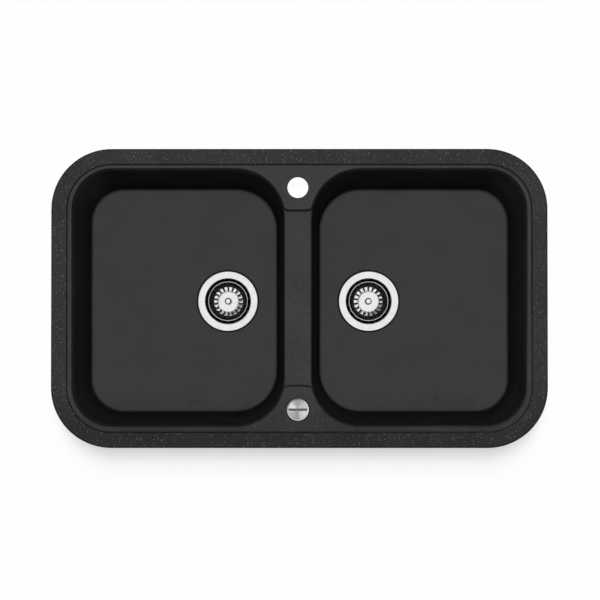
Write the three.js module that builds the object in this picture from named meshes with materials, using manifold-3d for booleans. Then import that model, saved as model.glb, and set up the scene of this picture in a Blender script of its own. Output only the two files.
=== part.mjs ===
// Double bowl kitchen sink: an inset sink in granite composite with two basket wastes.
//
// A turning knob at the front lifts the right-hand basket through a drum, a cable and a lever. The
// left-hand basket is lifted by hand. Eight claws clamp the rim to the worktop.
//
// Millimetres. +X to the right, +Y to the tap side, +Z up. The origin is the middle of the rim's
// outline, in the plane of the worktop's top surface. Radii are named as radii, the rest as lengths.

import * as THREE from 'three';
import { mergeVertices } from 'three/addons/utils/BufferGeometryUtils.js';
import Module from 'manifold-3d';

const wasm = await Module();
wasm.setup();

// ------------------------------------------------------------------ clearances
const seatGap = 0.2; // between faces that seat on each other
const runGap = 0.3; // round a pin, a thread or a piece that slides
const proud = 0.05; // how far a cutter stands off a face that it leaves whole
const past = 3; // how far a cutter runs past a face that it goes through
const above = 40; // how far the bowls' cutters reach above the deck
const lap = 1; // how far solids that are joined run into each other
const smallEdge = 0.5; // chamfer of small turned pieces

// ------------------------------------------------------------------ rim and deck
const rimWidth = 830;
const rimDepth = 500;
const rimCorner = 101; // radius of the outline's corners
const bandTop = 9; // top of the raised outer band, above the worktop
const bandWidth = 26; // outline to the middle of the slope that leads down to the deck
const bandSlope = 2; // width of that slope
const bandStep = 2; // the deck lies this much below the band
const rimEdge = 2.8; // rounding of the rim's outer top edge
const rimUnderEdge = 0.8; // chamfer of its lower edge
const seatWidth = 14; // the part of the rim's underside that lies on the worktop
const deckThickness = 10;

// ------------------------------------------------------------------ bowls
const centreX = -2.5; // tap hole, divider and knob stand this far beside the rim's middle
const sideMargin = 35; // outline to bowl opening, left and right
const backMargin = 33.5;
const frontMargin = 36;
const dividerWidth = 43.9;
const bowlDepth = 200; // deck to floor, at the waste
const outerCorner = 67; // opening's corners on the rim side
const innerCorner = 83; // opening's corners on the divider side
const cornerTaper = 9; // the outer corners are this much tighter at the floor
const innerCornerTaper = 11;
const sideDraft = 8.7; // how far the side walls lean in from opening to floor
const endDraft = 14; // the same for the front and back walls
const openingEdge = 3.5; // rounding of the opening's edge
const floorFillet = 15;
const floorFall = 3; // the floor falls this much from its edge to the waste
const flatRound = 8; // width of the flat floor round the waste's flange
const wall = 8;
const floorThickness = 9;

// ------------------------------------------------------------------ divider
const dividerDrop = 12; // its top lies this much below the deck
const dividerThickness = 9;
const stepFromBack = 68.2; // bowl opening's back edge to the step at the tap platform
const stepFromFront = 66.6;
// The step's profile: how far along the step towards the platform, and the share of its height.
const stepProfile = [[-2.4, 0], [-0.9, 0.1], [0.2, 0.82], [0.8, 0.95], [1.8, 1]];

// ------------------------------------------------------------------ holes in the deck
const tapHole = 17.5; // radius
const tapFromBack = 64.4; // outline to the tap hole's centre
const knobHole = 14; // radius
const knobFromFront = 64.3;
const holeChamfer = 0.8;

// ------------------------------------------------------------------ seal under the rim
const sealInset = 3; // outline to the seal
const sealWidth = 4;
const sealThickness = 1.2;

// ------------------------------------------------------------------ waste: steel cup
const wasteFromCentre = 123; // from the middle of the divider
const cupRadius = 39; // where the flange turns down into the cup
const cupTaper = 3; // the cup is this much narrower at its floor
const cupDepth = 35; // flange to the cup's floor
const cupRound = 8; // width of the bend between the cup's wall and its floor
const cupBend = 2.4; // height of that bend
const cupLean = 1; // the wall is this much further out above the bend
const lipRound = 1.8; // bend between the flange and the cup's wall
const flangeWidth = 13;
const holeRound = 6; // cup's wall to the hole in the bowl's floor
const recessGap = 1.6; // round the flange, in its recess
const sheet = 1.2; // thickness of the pressed steel
const gasketThickness = 1;
const gasketInset = 0.5; // gaskets' edges from the edges that they seat on
const drainRadius = 25; // the openings in the cup's floor reach out to this
const spokes = 6;
const spokeWidth = 4.5;
const spokeHub = 1; // the drain openings start this far outside the screw's hub

// ------------------------------------------------------------------ waste: basket and stopper
const basketInset = 5; // cup's wall to the middle of the basket's rolled rim
const basketBead = 0.9; // radius of the rolled rim's section
const basketRimDrop = 5; // rolled rim below the flange
const basketStand = 11; // basket's floor above the cup's floor
const basketSheet = 1;
const discRadius = 17.4; // the raised disc in the basket's floor
const discRise = 1.2;
const discGroove = 1.4; // depth of the groove round the disc
const wallFootShare = 0.37; // the sloping wall starts at this share of the basket's height
const slots = 18;
const slotWidth = 2.2;
const slotMargin = 1.2; // disc to the slots
const slotRimGap = 3; // end of the slots to the rolled rim
const postRadius = 2.7;
const postShoulder = 0.7; // the post is this much thicker above the disc
const postFoot = 2.1; // its foot on the disc is this much thicker
const postFootHeight = 1.5;
const liftKnobRadius = 6.2;
const liftKnobHeight = 8;
const liftKnobRise = 17; // its top above the basket's floor
const liftKnobProfile = [[1, 0.4], [0.9, 0.8], [0.6, 0.95], [0, 1]]; // shares of its radius and height
const stopperInset = 4.5; // cup's floor radius to the stopper's lip
const stopperDrop = 4.8; // the stopper's flat underside below the basket's floor
const stopperLip = 1.4; // thickness of the lip
const stopperLipWidth = 2;
const stopperCollar = 4; // wall of the collar under the basket
// The stopper's faces from its middle outwards: shares of the lip's radius and of the drop.
const stopperBelow = [[0.35, 0], [0.76, -0.5]];
const stopperOnTop = [[0.78, 0], [0.28, 0.45]];
const stopperNutFlats = 9;
const stopperNutHeight = 1.8;

// ------------------------------------------------------------------ waste: plastic body
const bodyRoom = 1; // steel cup to plastic body
const bodyWall = 2.5;
const bodyFlange = 3; // thickness of the body's flange
const outletRadius = 20.5; // bore of the outlet
const outletWall = 3.4; // up to the outside of the outlet's thread
const outletBelowCup = 60; // end of the outlet below the cup's floor
const funnelBelowCup = 6; // where the body starts to narrow
const funnelHeight = 12;
const funnelBend = 4; // height of the inside's first slope above the funnel
const funnelLean = 2; // and its width
const screwWall = 1.9; // wall of the hollow centre screw
const screwHead = 3.5; // height of its head
const keyDepth = 2.4; // depth of the head's hexagon socket
const keyWall = 1; // the socket's flats are this far outside the bore
const screwHeadLap = 3.6; // its head is this much larger than its shank, in radius
const screwLength = 17; // below the cup's floor
const hubWall = 4.3; // wall of the hub that takes the screw's thread
const hubHeight = 14;
const armThickness = 3.2; // of the arms that carry the hub
const armHeight = 6;

// ------------------------------------------------------------------ lever of the right-hand waste
const lift = 8; // how far the lever lifts the basket
const pivotBelowCup = 28;
const pivotFromOutlet = 4.1; // outside of the outlet to the pivot
const outerArm = 30; // pivot to the cable
const leverTail = 3; // the lever beyond the cable
const cableSlot = 1; // half the width of its slot for the cable
const pivotRadius = 1.8;
const leverWidth = 6;
const leverThickness = 3.2;
const leverBoss = 4.6; // radius round the pivot
const noseRadius = 2.5; // end of the lever, under the lift pin
const housingWall = 2;
const housingSide = 1.5; // room beside the lever
const housingRoom = 10; // above and below the pivot
const housingTail = 3; // lever's end to the outside of the housing
const windowReach = 5; // above and below the pivot, in the wall of the outlet
const coverThickness = 2;
const coverLip = 2.5; // height of the lip that locates the cover in the housing
const coverLipInset = 2; // cover's end at the outlet to the lip
const coverLipWall = 1.3;

// ------------------------------------------------------------------ control knob
const knobRadius = 18.5;
const knobHeight = 13.5;
const knobChamfer = 1.1;
const knobCrown = 0.3; // the face rises this much to its middle
const knobSkirt = 2.6; // thickness of the outer wall
const knobRoof = 5; // thickness of the top
const knobSocketRoof = 3.5; // metal above the spindle
const knobHubWall = 4;
const gripLength = 31;
const gripWidth = 2.4;
const gripDepth = 1.5;
const grubRadius = 2;
const grubHeight = 5; // its middle above the knob's lower edge
const knobGasketThickness = 0.8;

// ------------------------------------------------------------------ under the knob
const sleeveFlangeLap = 3.6; // its flange is this much larger than the hole, in radius
const sleeveFlangeThickness = 1.6;
const sleeveWall = 3;
const bearingLength = 8; // where the sleeve's bore holds the spindle
const bearingTaper = 2; // height over which the bore widens below
const spindleRadius = 4;
const spindleTail = 2; // spindle below the drum
const nutWall = 3; // sleeve's hole to the nut's flats
const nutHeight = 7;
const washerWall = 2; // the washer is this much larger than the nut's flats
const nutToCase = 1;
const caseNeck = 6.6; // length of the case that is screwed onto the sleeve
const caseWall = 3; // thickness of the case outside its neck
const caseFloorRoom = 6.9; // spindle's end to the lower edge of the case
const coverPlate = 1.5; // thickness of the cover outside the case
const coverPlug = 3; // how far the cover plugs into the case
const coverRebate = 1; // depth of the case's rebate for the plug
const coverPlugWall = 2;
const coverFloor = 0.6; // cover's floor above the case's lower edge
const coverBossWall = 1; // the boss under the spindle is this much larger
const drumRoom = 1.5; // sleeve to drum
const drumHeight = 8;
const drumWall = 1.9; // spindle's surface to the groove where the cable runs
const drumFlange = 3.4; // height of the drum's flanges above the groove
const grooveSlope = 1; // the groove's sides slope over this height
const drumSideRoom = 3.6; // drum's flange to the inside of the case
const glandRadius = 4;
const glandBore = 1.5; // radius
const glandLength = 12; // beyond the case
const leverGlandLength = 12; // below the cover's plate

// ------------------------------------------------------------------ fixing claws
const worktopThickness = 30;
const clawScrewInset = 19; // outline to the screw
const clawTipInset = 3; // outline to the claw's tip
const clawFromEnd = 165; // the outer claws of the long sides, from the rim's ends
const clawPlate = 2;
const clawLip = 3; // height of the tip's edge above the plate
const clawWidth = 16;
const clawHeelWidth = 7;
const clawHeelReach = 6;
const bossRadius = 6;
const bossEnd = 16; // underside of the bosses below the worktop's surface
const bossRoof = 1.5; // screw's hole to the underside of the deck
const clawScrewRadius = 2.4;
const clawScrewHead = 4.5;
const clawScrewHeadHeight = 3;

// ------------------------------------------------------------------ sizes that follow
const deckTop = bandTop - bandStep;
const deckUnder = deckTop - deckThickness;
const dividerTop = deckTop - dividerDrop;
const floorZ = deckTop - bowlDepth; // floor at the waste
const floorEdgeZ = floorZ + floorFall;
const floorUnder = floorZ - floorThickness;
const openingBack = rimDepth / 2 - backMargin;
const openingFront = -rimDepth / 2 + frontMargin;
const backStepY = openingBack - stepFromBack;
const frontStepY = openingFront + stepFromFront;
const tapY = rimDepth / 2 - tapFromBack;
const knobY = -rimDepth / 2 + knobFromFront;
const wasteHoleRadius = cupRadius + holeRound;
const flangeRadius = cupRadius + flangeWidth;
const cupFloorRadius = cupRadius - cupTaper;
const sides = [-1, 1]; // left-hand and right-hand bowl

// ------------------------------------------------------------------ materials
const finish = (name, color, roughness, metalness) => {
  const material = new THREE.MeshStandardMaterial({ color, roughness, metalness });
  material.name = name;
  return material;
};
const granite = finish('granite_composite', 0x37383a, 0.55, 0);
const polished = finish('polished_steel', 0xe4e5e6, 0.12, 1);
const brushed = finish('brushed_steel', 0xc3c3c1, 0.35, 1);
const zinc = finish('zinc_plated_steel', 0xa9adb0, 0.4, 1);
const rubber = finish('black_rubber', 0x18191a, 0.8, 0);
const foam = finish('grey_foam', 0x56585a, 0.95, 0);
const blackPlastic = finish('black_plastic', 0x212325, 0.5, 0);
const whitePlastic = finish('white_plastic', 0xe9e9e4, 0.45, 0);

// ------------------------------------------------------------------ solids
const radians = (angle) => (angle * Math.PI) / 180;
const weldDistance = 1e-4;

function signedVolume(position, corners) {
  const [a, b, c] = [new THREE.Vector3(), new THREE.Vector3(), new THREE.Vector3()];
  let volume = 0;
  for (let i = 0; i < corners.length; i += 3) {
    a.fromBufferAttribute(position, corners[i]);
    b.fromBufferAttribute(position, corners[i + 1]);
    c.fromBufferAttribute(position, corners[i + 2]);
    volume += a.dot(b.cross(c)) / 6;
  }
  return volume;
}

// A closed geometry with its shared vertices merged, so that only its shape is left.
function welded(geometry) {
  geometry.deleteAttribute('normal');
  geometry.deleteAttribute('uv');
  return mergeVertices(geometry, weldDistance);
}

// A welded geometry as a solid for joining and cutting, whichever way its faces were wound.
function solid(geometry) {
  const position = geometry.getAttribute('position');
  const corners = [];
  for (let i = 0; i < geometry.index.count; i += 3) {
    const [a, b, c] = [0, 1, 2].map((k) => geometry.index.getX(i + k));
    if (a !== b && b !== c && c !== a) corners.push(a, b, c);
  }
  if (signedVolume(position, corners) < 0) corners.reverse();
  return new wasm.Manifold(new wasm.Mesh({
    numProp: 3,
    vertProperties: new Float32Array(position.array),
    triVerts: new Uint32Array(corners),
  }));
}

function geometryOf(shape) {
  const { vertProperties, triVerts } = shape.getMesh();
  const geometry = new THREE.BufferGeometry();
  geometry.setAttribute('position', new THREE.BufferAttribute(vertProperties, 3));
  geometry.setIndex(new THREE.BufferAttribute(triVerts, 1));
  return geometry;
}

const joined = (...shapes) => (
  geometryOf(shapes.map(solid).reduce((whole, piece) => whole.add(piece)))
);

const cut = (whole, ...cutters) => (
  geometryOf(cutters.map(solid).reduce((rest, cutter) => rest.subtract(cutter), solid(whole)))
);

// Facets round a piece.
const shownSegments = 24; // where it shows from above
const hiddenSegments = 20;
const hubSegments = 16; // hubs and bars
const smallSegments = 12;
const tinySegments = 8; // screws and their holes

// A solid of revolution about Z, from a closed outline of [radius, height] points.
function turned(outline, segments = shownSegments) {
  const points = [...outline, outline[0]].map(([radius, height]) => new THREE.Vector2(radius, height));
  return welded(new THREE.LatheGeometry(points, segments).rotateX(Math.PI / 2));
}

// A ring or disc of rectangular section.
function washer(inner, outer, bottom, top, segments = hiddenSegments) {
  return turned([[inner, bottom], [outer, bottom], [outer, top], [inner, top]], segments);
}

const disc = (radius, bottom, top, segments = hubSegments) => washer(0, radius, bottom, top, segments);

// A flat outline in XY, raised from bottom to top.
function prism(shape, bottom, top, curveSegments = 8) {
  const geometry = new THREE.ExtrudeGeometry(shape, {
    depth: top - bottom,
    bevelEnabled: false,
    curveSegments,
  });
  return welded(geometry.translate(0, 0, bottom));
}

// A box from x0 to x1 and from z0 to z1, as far to one side of the XZ plane as to the other.
function slab(x0, x1, halfWidth, z0, z1) {
  const geometry = new THREE.BoxGeometry(x1 - x0, 2 * halfWidth, z1 - z0);
  return welded(geometry.translate((x0 + x1) / 2, 0, (z0 + z1) / 2));
}

// A round bar along Y, centred on a point.
function crossBar(radius, length, centre, segments = hubSegments) {
  const geometry = new THREE.CylinderGeometry(radius, radius, length, segments);
  return welded(geometry.translate(...centre));
}

// A closed outline through [x, y] points.
const outlined = (points) => new THREE.Shape(points.map(([x, y]) => new THREE.Vector2(x, y)));

function hexagon(acrossFlats) {
  const corner = acrossFlats / 2 / Math.cos(Math.PI / 6);
  return outlined(Array.from({ length: 6 }, (_, i) => {
    const angle = (Math.PI * (2 * i + 1)) / 6;
    return [corner * Math.cos(angle), corner * Math.sin(angle)];
  }));
}

// The same shape, turned about Z into equal places all round, from a first angle in degrees.
const aroundAxis = (shape, count, first) => (
  Array.from({ length: count }, (_, i) => shape.clone().rotateZ(radians(first + (360 * i) / count)))
);

// A solid skinned over rings of equally many points, closed by a flat fan at each end.
function loft(rings) {
  const count = rings[0].length;
  const points = rings.flat();
  const index = [];
  for (let i = 0; i < count; i += 1) {
    const next = (i + 1) % count;
    for (let first = 0; first + count < points.length; first += count) {
      const [a, b] = [first + i, first + next];
      index.push(a, b, b + count, a, b + count, a + count);
    }
    const last = points.length - count;
    index.push(points.length, next, i, points.length + 1, last + i, last + next);
  }
  const middle = (ring) => (
    ring.reduce((sum, point) => sum.add(point), new THREE.Vector3()).divideScalar(count)
  );
  const coordinates = [...points, middle(rings[0]), middle(rings.at(-1))];
  const geometry = new THREE.BufferGeometry().setFromPoints(coordinates);
  geometry.setIndex(index);
  return geometry;
}

// ------------------------------------------------------------------ outlines
// A rectangle with its own radius at each corner. A station is a place on the outline: a corner and
// an angle on its arc, or an edge and a share of its length. Corner 0 is at the low u and low y, and
// corners and edges follow anticlockwise, each edge after its corner.
const cornerStart = [180, 270, 0, 90];

function cornerCentre({ u0, u1, y0, y1, radii }, corner) {
  const r = radii[corner];
  const atLowU = corner === 0 || corner === 3;
  const atLowY = corner < 2;
  return { u: atLowU ? u0 + r : u1 - r, y: atLowY ? y0 + r : y1 - r, r };
}

function cornerPoint(section, corner, angle, outset) {
  const { u, y, r } = cornerCentre(section, corner);
  const turn = radians(cornerStart[corner] + angle);
  return { u: u + (r + outset) * Math.cos(turn), y: y + (r + outset) * Math.sin(turn) };
}

function stationPoint(section, station, outset) {
  if ('angle' in station) return cornerPoint(section, station.corner, station.angle, outset);
  const from = cornerPoint(section, station.edge, 90, outset);
  const to = cornerPoint(section, (station.edge + 1) % 4, 0, outset);
  return {
    u: from.u + (to.u - from.u) * station.share,
    y: from.y + (to.y - from.y) * station.share,
  };
}

function evenStations(arcSteps, edgeShares) {
  const stations = [];
  for (let corner = 0; corner < 4; corner += 1) {
    for (let i = 0; i <= arcSteps; i += 1) stations.push({ corner, angle: (90 * i) / arcSteps });
    for (const share of edgeShares) stations.push({ edge: corner, share });
  }
  return stations;
}

// ------------------------------------------------------------------ rim
const rimArcSteps = 8;
const rimStations = evenStations(rimArcSteps, []);
const rimEdgeAngles = [0, 45, 90]; // rings on the rounding of its edge

function rimRing(inset, z) {
  const section = {
    u0: -rimWidth / 2 + inset,
    u1: rimWidth / 2 - inset,
    y0: -rimDepth / 2 + inset,
    y1: rimDepth / 2 - inset,
    radii: Array(4).fill(rimCorner - inset),
  };
  return rimStations.map((station) => {
    const { u, y } = stationPoint(section, station, 0);
    return new THREE.Vector3(u, y, z);
  });
}

// A flat strip that follows the rim, between two distances from its outline.
const rimStrip = (outerInset, innerInset, bottom, top) => cut(
  loft([rimRing(outerInset, bottom), rimRing(outerInset, top)]),
  loft([rimRing(innerInset, bottom - past), rimRing(innerInset, top + past)]),
);

function rimSlab() {
  const rings = [rimRing(rimUnderEdge, 0), rimRing(0, rimUnderEdge)];
  for (const angle of rimEdgeAngles) {
    const inset = rimEdge * (1 - Math.cos(radians(angle)));
    rings.push(rimRing(inset, bandTop - rimEdge * (1 - Math.sin(radians(angle)))));
  }
  rings.push(rimRing(bandWidth - bandSlope / 2, bandTop), rimRing(bandWidth + bandSlope / 2, deckTop));
  return loft(rings);
}

// The deck's thickness inside the seat, which drops through the hole in the worktop.
const deckSlab = () => loft([rimRing(seatWidth, deckUnder), rimRing(seatWidth, deckTop - bandStep)]);

const rimSeal = () => rimStrip(sealInset, sealInset + sealWidth, 0, sealThickness);

const sealGroove = () => (
  rimStrip(sealInset - runGap, sealInset + sealWidth + runGap, -past, sealThickness + seatGap)
);

// ------------------------------------------------------------------ bowls
// A bowl is drawn in u, measured from the middle of the divider outwards, and y.
const bowlX = (side, u) => centreX + side * u;
const drainX = (side) => bowlX(side, wasteFromCentre);

// The bowl's inside at a height, before its fillets. It leans and tightens evenly on the way down.
function bowlSection(side, z) {
  const share = (deckTop - z) / (deckTop - floorEdgeZ);
  const inner = innerCorner - innerCornerTaper * share;
  const outer = outerCorner - cornerTaper * share;
  return {
    u0: dividerWidth / 2 + sideDraft * share,
    u1: rimWidth / 2 - sideMargin - side * centreX - sideDraft * share,
    y0: openingFront + endDraft * share,
    y1: openingBack - endDraft * share,
    radii: [inner, outer, outer, inner],
  };
}

// Height of the divider's top, which rises to the platforms at its two steps.
function dividerHeight(y) {
  const run = Math.max(y - backStepY, frontStepY - y);
  const share = stepProfile.reduce((height, [at, risen], i) => {
    if (run < at) return height;
    const next = stepProfile[i + 1];
    if (!next) return risen;
    return risen + (next[1] - risen) * Math.min(1, (run - at) / (next[0] - at));
  }, 0);
  return dividerTop + dividerDrop * share;
}

// Where the opening's divider-side edge has the given y: on one of its arcs or on the straight edge.
function innerStation(section, y) {
  const front = cornerCentre(section, 0);
  const back = cornerCentre(section, 3);
  const arc = (centre) => Math.asin(Math.min(1, Math.abs(y - centre.y) / centre.r)) * (180 / Math.PI);
  if (y > back.y) return { corner: 3, angle: 90 - arc(back) };
  if (y < front.y) return { corner: 0, angle: arc(front) };
  return { edge: 3, share: (back.y - y) / (back.y - front.y) };
}

const stationOrder = ({ corner, edge, angle, share }) => (
  corner === undefined ? edge * 2 + 1 + share : corner * 2 + angle / 90
);

const bowlArcSteps = 6;
const dividerSide = dividerWidth / 2 + innerCorner / 4; // the divider's edge is nearer than this u
const mouthAngles = [50, 0]; // rings on the rounding of the opening's edge
const filletAngles = [0, 30, 60, 90];
const stepClearance = 4; // no other station stands this close to a step

// Stations round a bowl, with those that the divider's two steps need.
function bowlStations(side) {
  const opening = bowlSection(side, deckTop);
  const stepYs = [backStepY, frontStepY].flatMap((step) => (
    stepProfile.map(([run]) => step + Math.sign(step) * run)
  ));
  const nearStep = (station) => stepYs.some((y) => {
    const point = stationPoint(opening, station, 0);
    return point.u < dividerSide && Math.abs(point.y - y) < stepClearance;
  });
  const even = evenStations(bowlArcSteps, [0.5]).filter((station) => !nearStep(station));
  const atSteps = stepYs.map((y) => innerStation(opening, y));
  return [...even, ...atSteps].sort((a, b) => stationOrder(a) - stationOrder(b));
}

// Height of the surface that the opening's edge rounds into.
function edgeHeight(side, station) {
  const { u, y } = stationPoint(bowlSection(side, deckTop), station, 0);
  return u < dividerSide ? dividerHeight(y) : deckTop;
}

// One ring of a bowl. heightAndOutset gives each station's height and its distance outside the wall.
function bowlRing(side, stations, heightAndOutset) {
  return stations.map((station) => {
    const { z, outset } = heightAndOutset(station);
    const { u, y } = stationPoint(bowlSection(side, z), station, outset);
    return new THREE.Vector3(bowlX(side, u), y, z);
  });
}

// Rings of the fillet that leads from the wall to a floor at the given height.
function filletRings(side, stations, radius, bottom, outset) {
  return filletAngles.map((angle) => bowlRing(side, stations, () => ({
    z: bottom + radius * (1 - Math.sin(radians(angle))),
    outset: outset - radius * (1 - Math.cos(radians(angle))),
  })));
}

// The hollow of a bowl, with the rounding of its edge and the fall of its floor.
function bowlHollow(side) {
  const stations = bowlStations(side);
  const height = (station) => edgeHeight(side, station);
  const mouth = openingEdge + runGap;
  const edgeRings = mouthAngles.map((angle) => bowlRing(side, stations, (station) => ({
    z: height(station) - openingEdge * (1 - Math.sin(radians(angle))),
    outset: openingEdge * (1 - Math.cos(radians(angle))),
  })));
  const fillet = filletRings(side, stations, floorFillet, floorEdgeZ, 0);
  const drain = new THREE.Vector2(drainX(side), 0);
  const flat = fillet.at(-1).map((point) => {
    const away = new THREE.Vector2(point.x, point.y).sub(drain).setLength(flangeRadius + flatRound);
    return new THREE.Vector3(drain.x + away.x, drain.y + away.y, floorZ);
  });
  return loft([
    bowlRing(side, stations, () => ({ z: deckTop + above, outset: mouth })),
    bowlRing(side, stations, (station) => ({ z: height(station) + proud, outset: mouth })),
    ...edgeRings,
    ...fillet,
    flat,
  ]);
}

function bowlShell(side) {
  const stations = evenStations(bowlArcSteps, []);
  return loft([
    bowlRing(side, stations, () => ({ z: deckTop - bandStep, outset: wall })),
    ...filletRings(side, stations, floorFillet + wall, floorUnder, wall),
  ]);
}

// ------------------------------------------------------------------ sink body
const recessDepth = 2 * seatGap + gasketThickness + sheet;

// The hole in a bowl's floor, with the recess that takes the flange.
function wasteHole(side) {
  const recess = flangeRadius + recessGap;
  return turned([
    [0, floorUnder - past],
    [wasteHoleRadius, floorUnder - past],
    [wasteHoleRadius, floorZ - recessDepth],
    [recess, floorZ - recessDepth],
    [recess, floorZ + past],
    [0, floorZ + past],
  ]).translate(drainX(side), 0, 0);
}

// A round hole through the deck with a broken top edge.
function deckHole(radius, y) {
  const mouth = radius + holeChamfer + proud;
  return turned([
    [0, deckUnder - past],
    [radius, deckUnder - past],
    [radius, deckTop - holeChamfer],
    [mouth, deckTop + proud],
    [mouth, deckTop + past],
    [0, deckTop + past],
  ]).translate(centreX, y, 0);
}

// The pocket that lowers the divider between its two steps.
function dividerPocket() {
  const run = (step) => stepProfile.map(([at, share]) => (
    [step + Math.sign(step) * at, dividerTop + dividerDrop * share]
  ));
  const front = run(frontStepY).reverse();
  const back = run(backStepY);
  const top = deckTop + above;
  const shape = outlined([...front, ...back, [back.at(-1)[0], top], [front[0][0], top]]);
  const width = dividerWidth + innerCorner / 4;
  const geometry = new THREE.ExtrudeGeometry(shape, { depth: width, bevelEnabled: false });
  // The outline's x becomes Y and its y becomes Z, and it is drawn out along X.
  geometry.rotateY(Math.PI / 2).rotateX(Math.PI / 2);
  return welded(geometry.translate(centreX - width / 2, 0, 0));
}

// The web that joins the two bowls under the divider's top.
function dividerWeb() {
  const length = backStepY - frontStepY + 2 * wall;
  const bottom = dividerTop - dividerThickness;
  const height = deckTop - bandStep - bottom;
  const geometry = new THREE.BoxGeometry(dividerWidth + wall, length, height);
  return welded(geometry.translate(centreX, (backStepY + frontStepY) / 2, bottom + height / 2));
}

// Where the fixing claws stand: a point, and the way out to the rim's edge.
const clawX = rimWidth / 2 - clawFromEnd;
const clawSeats = [
  ...[-clawX, centreX, clawX].map((x) => ({ x, y: rimDepth / 2 - clawScrewInset, turn: 90 })),
  ...[-clawX, centreX, clawX].map((x) => ({ x, y: -rimDepth / 2 + clawScrewInset, turn: -90 })),
  { x: rimWidth / 2 - clawScrewInset, y: 0, turn: 0 },
  { x: -rimWidth / 2 + clawScrewInset, y: 0, turn: 180 },
];
const clawHoleTop = deckUnder - bossRoof;
const bossArcSteps = 3;

// A boss that runs from its screw to the bowl's wall, drawn with the rim's edge towards +X.
function clawBoss({ x, y, turn }) {
  const shape = new THREE.Shape();
  const root = -bossRadius - wall / 2;
  shape.moveTo(root, -bossRadius);
  shape.lineTo(0, -bossRadius);
  shape.absarc(0, 0, bossRadius, -Math.PI / 2, Math.PI / 2, false);
  shape.lineTo(root, bossRadius);
  const boss = prism(shape, -bossEnd, deckUnder + bandStep, bossArcSteps);
  return boss.rotateZ(radians(turn)).translate(x, y, 0);
}

const clawHole = ({ x, y }) => (
  disc(clawScrewRadius + runGap, -bossEnd - past, clawHoleTop, tinySegments).translate(x, y, 0)
);

function sinkBody() {
  const whole = joined(
    rimSlab(),
    deckSlab(),
    ...sides.map(bowlShell),
    dividerWeb(),
    ...clawSeats.map(clawBoss),
  );
  return cut(
    whole,
    ...sides.map(bowlHollow),
    dividerPocket(),
    ...sides.map(wasteHole),
    deckHole(tapHole, tapY),
    deckHole(knobHole, knobY),
    sealGroove(),
    ...clawSeats.map(clawHole),
  );
}

// ------------------------------------------------------------------ waste, drawn about its own axis
// Heights are measured from the flange's top, which lies level with the floor of the bowl.
const bodyTop = -floorThickness - 2 * gasketThickness - 2 * seatGap;
const bodyRadius = cupRadius + sheet + bodyRoom; // inside of the plastic body's cup
const boreRadius = postRadius + runGap;
const screwShank = boreRadius + screwWall;
const threadBore = screwShank + runGap;
const hubRadius = threadBore + hubWall;
const cupUnder = -cupDepth - sheet;
const outletOutside = outletRadius + outletWall;
const outletEnd = -cupDepth - outletBelowCup;
const drainArcSteps = 2;
const bodyArms = 4;

// The steel flange and cup in one pressing, with a spoked floor.
function wasteFlange() {
  const cupWall = cupFloorRadius + cupLean;
  const cup = turned([
    [threadBore, -cupDepth],
    [cupFloorRadius - cupRound, -cupDepth],
    [cupWall, -cupDepth + cupBend],
    [cupRadius, -2 * sheet],
    [cupRadius + lipRound, 0],
    [flangeRadius - sheet / 2, 0],
    [flangeRadius, -sheet],
    [cupRadius + lipRound, -sheet],
    [cupRadius + sheet, -lipRound - sheet],
    [cupWall + sheet, -cupDepth + cupBend - sheet / 2],
    [cupFloorRadius - cupRound, cupUnder],
    [threadBore, cupUnder],
  ]);
  const hub = hubRadius + spokeHub;
  const half = 180 / spokes;
  const halfAngle = (radius) => radians(half) - Math.asin(spokeWidth / 2 / radius);
  const opening = new THREE.Shape();
  opening.absarc(0, 0, drainRadius, -halfAngle(drainRadius), halfAngle(drainRadius), false);
  opening.absarc(0, 0, hub, halfAngle(hub), -halfAngle(hub), true);
  const cutter = prism(opening, cupUnder - past, past - cupDepth, drainArcSteps);
  return cut(cup, ...aroundAxis(cutter, spokes, half));
}

const flangeGasket = () => {
  const top = -sheet - seatGap;
  return washer(
    wasteHoleRadius + gasketInset,
    flangeRadius - gasketInset,
    top - gasketThickness,
    top,
  );
};

// A thicker gasket between the bowl's floor and the plastic body, from below.
const underGasket = () => {
  const top = -floorThickness - seatGap;
  return washer(
    bodyRadius + gasketInset,
    flangeRadius - gasketInset,
    top - 2 * gasketThickness,
    top,
  );
};

const funnelTop = -cupDepth - funnelBelowCup;
const outletTop = funnelTop - funnelHeight - bodyWall;

// The plastic body: a cup round the steel one and a hub that takes the centre screw. The outlet is
// given as the outline below the funnel, from its outside to its bore.
function wasteBodyShell(outlet) {
  const outside = bodyRadius + bodyWall;
  const shell = turned([
    [bodyRadius, bodyTop],
    [flangeRadius, bodyTop],
    [flangeRadius, bodyTop - bodyFlange],
    [outside, bodyTop - bodyFlange],
    [outside, funnelTop],
    [outletOutside, outletTop],
    ...outlet,
    [outletRadius, outletTop],
    [bodyRadius - funnelLean, funnelTop],
    [bodyRadius, funnelTop + funnelBend],
  ], hiddenSegments);
  const top = cupUnder - seatGap;
  const hub = washer(threadBore, hubRadius, top - hubHeight, top, hubSegments);
  const arm = slab(hubRadius - lap, bodyRadius - lap, armThickness / 2, top - armHeight, top);
  return joined(shell, hub, ...aroundAxis(arm, bodyArms, 180 / bodyArms));
}

// A hollow cap screw that clamps the cup to the body. The post or the lift pin slides in its bore.
function centreScrew() {
  const end = -cupDepth - screwLength;
  const seat = -cupDepth + seatGap;
  const top = seat + screwHead;
  const head = screwShank + screwHeadLap;
  const whole = turned([
    [boreRadius, end],
    [screwShank, end],
    [screwShank, seat],
    [head, seat],
    [head, top - smallEdge],
    [head - smallEdge, top],
    [boreRadius, top],
  ], smallSegments);
  const keyFlats = 2 * (boreRadius + keyWall);
  return cut(whole, prism(hexagon(keyFlats), top - keyDepth, top + past));
}

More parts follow.
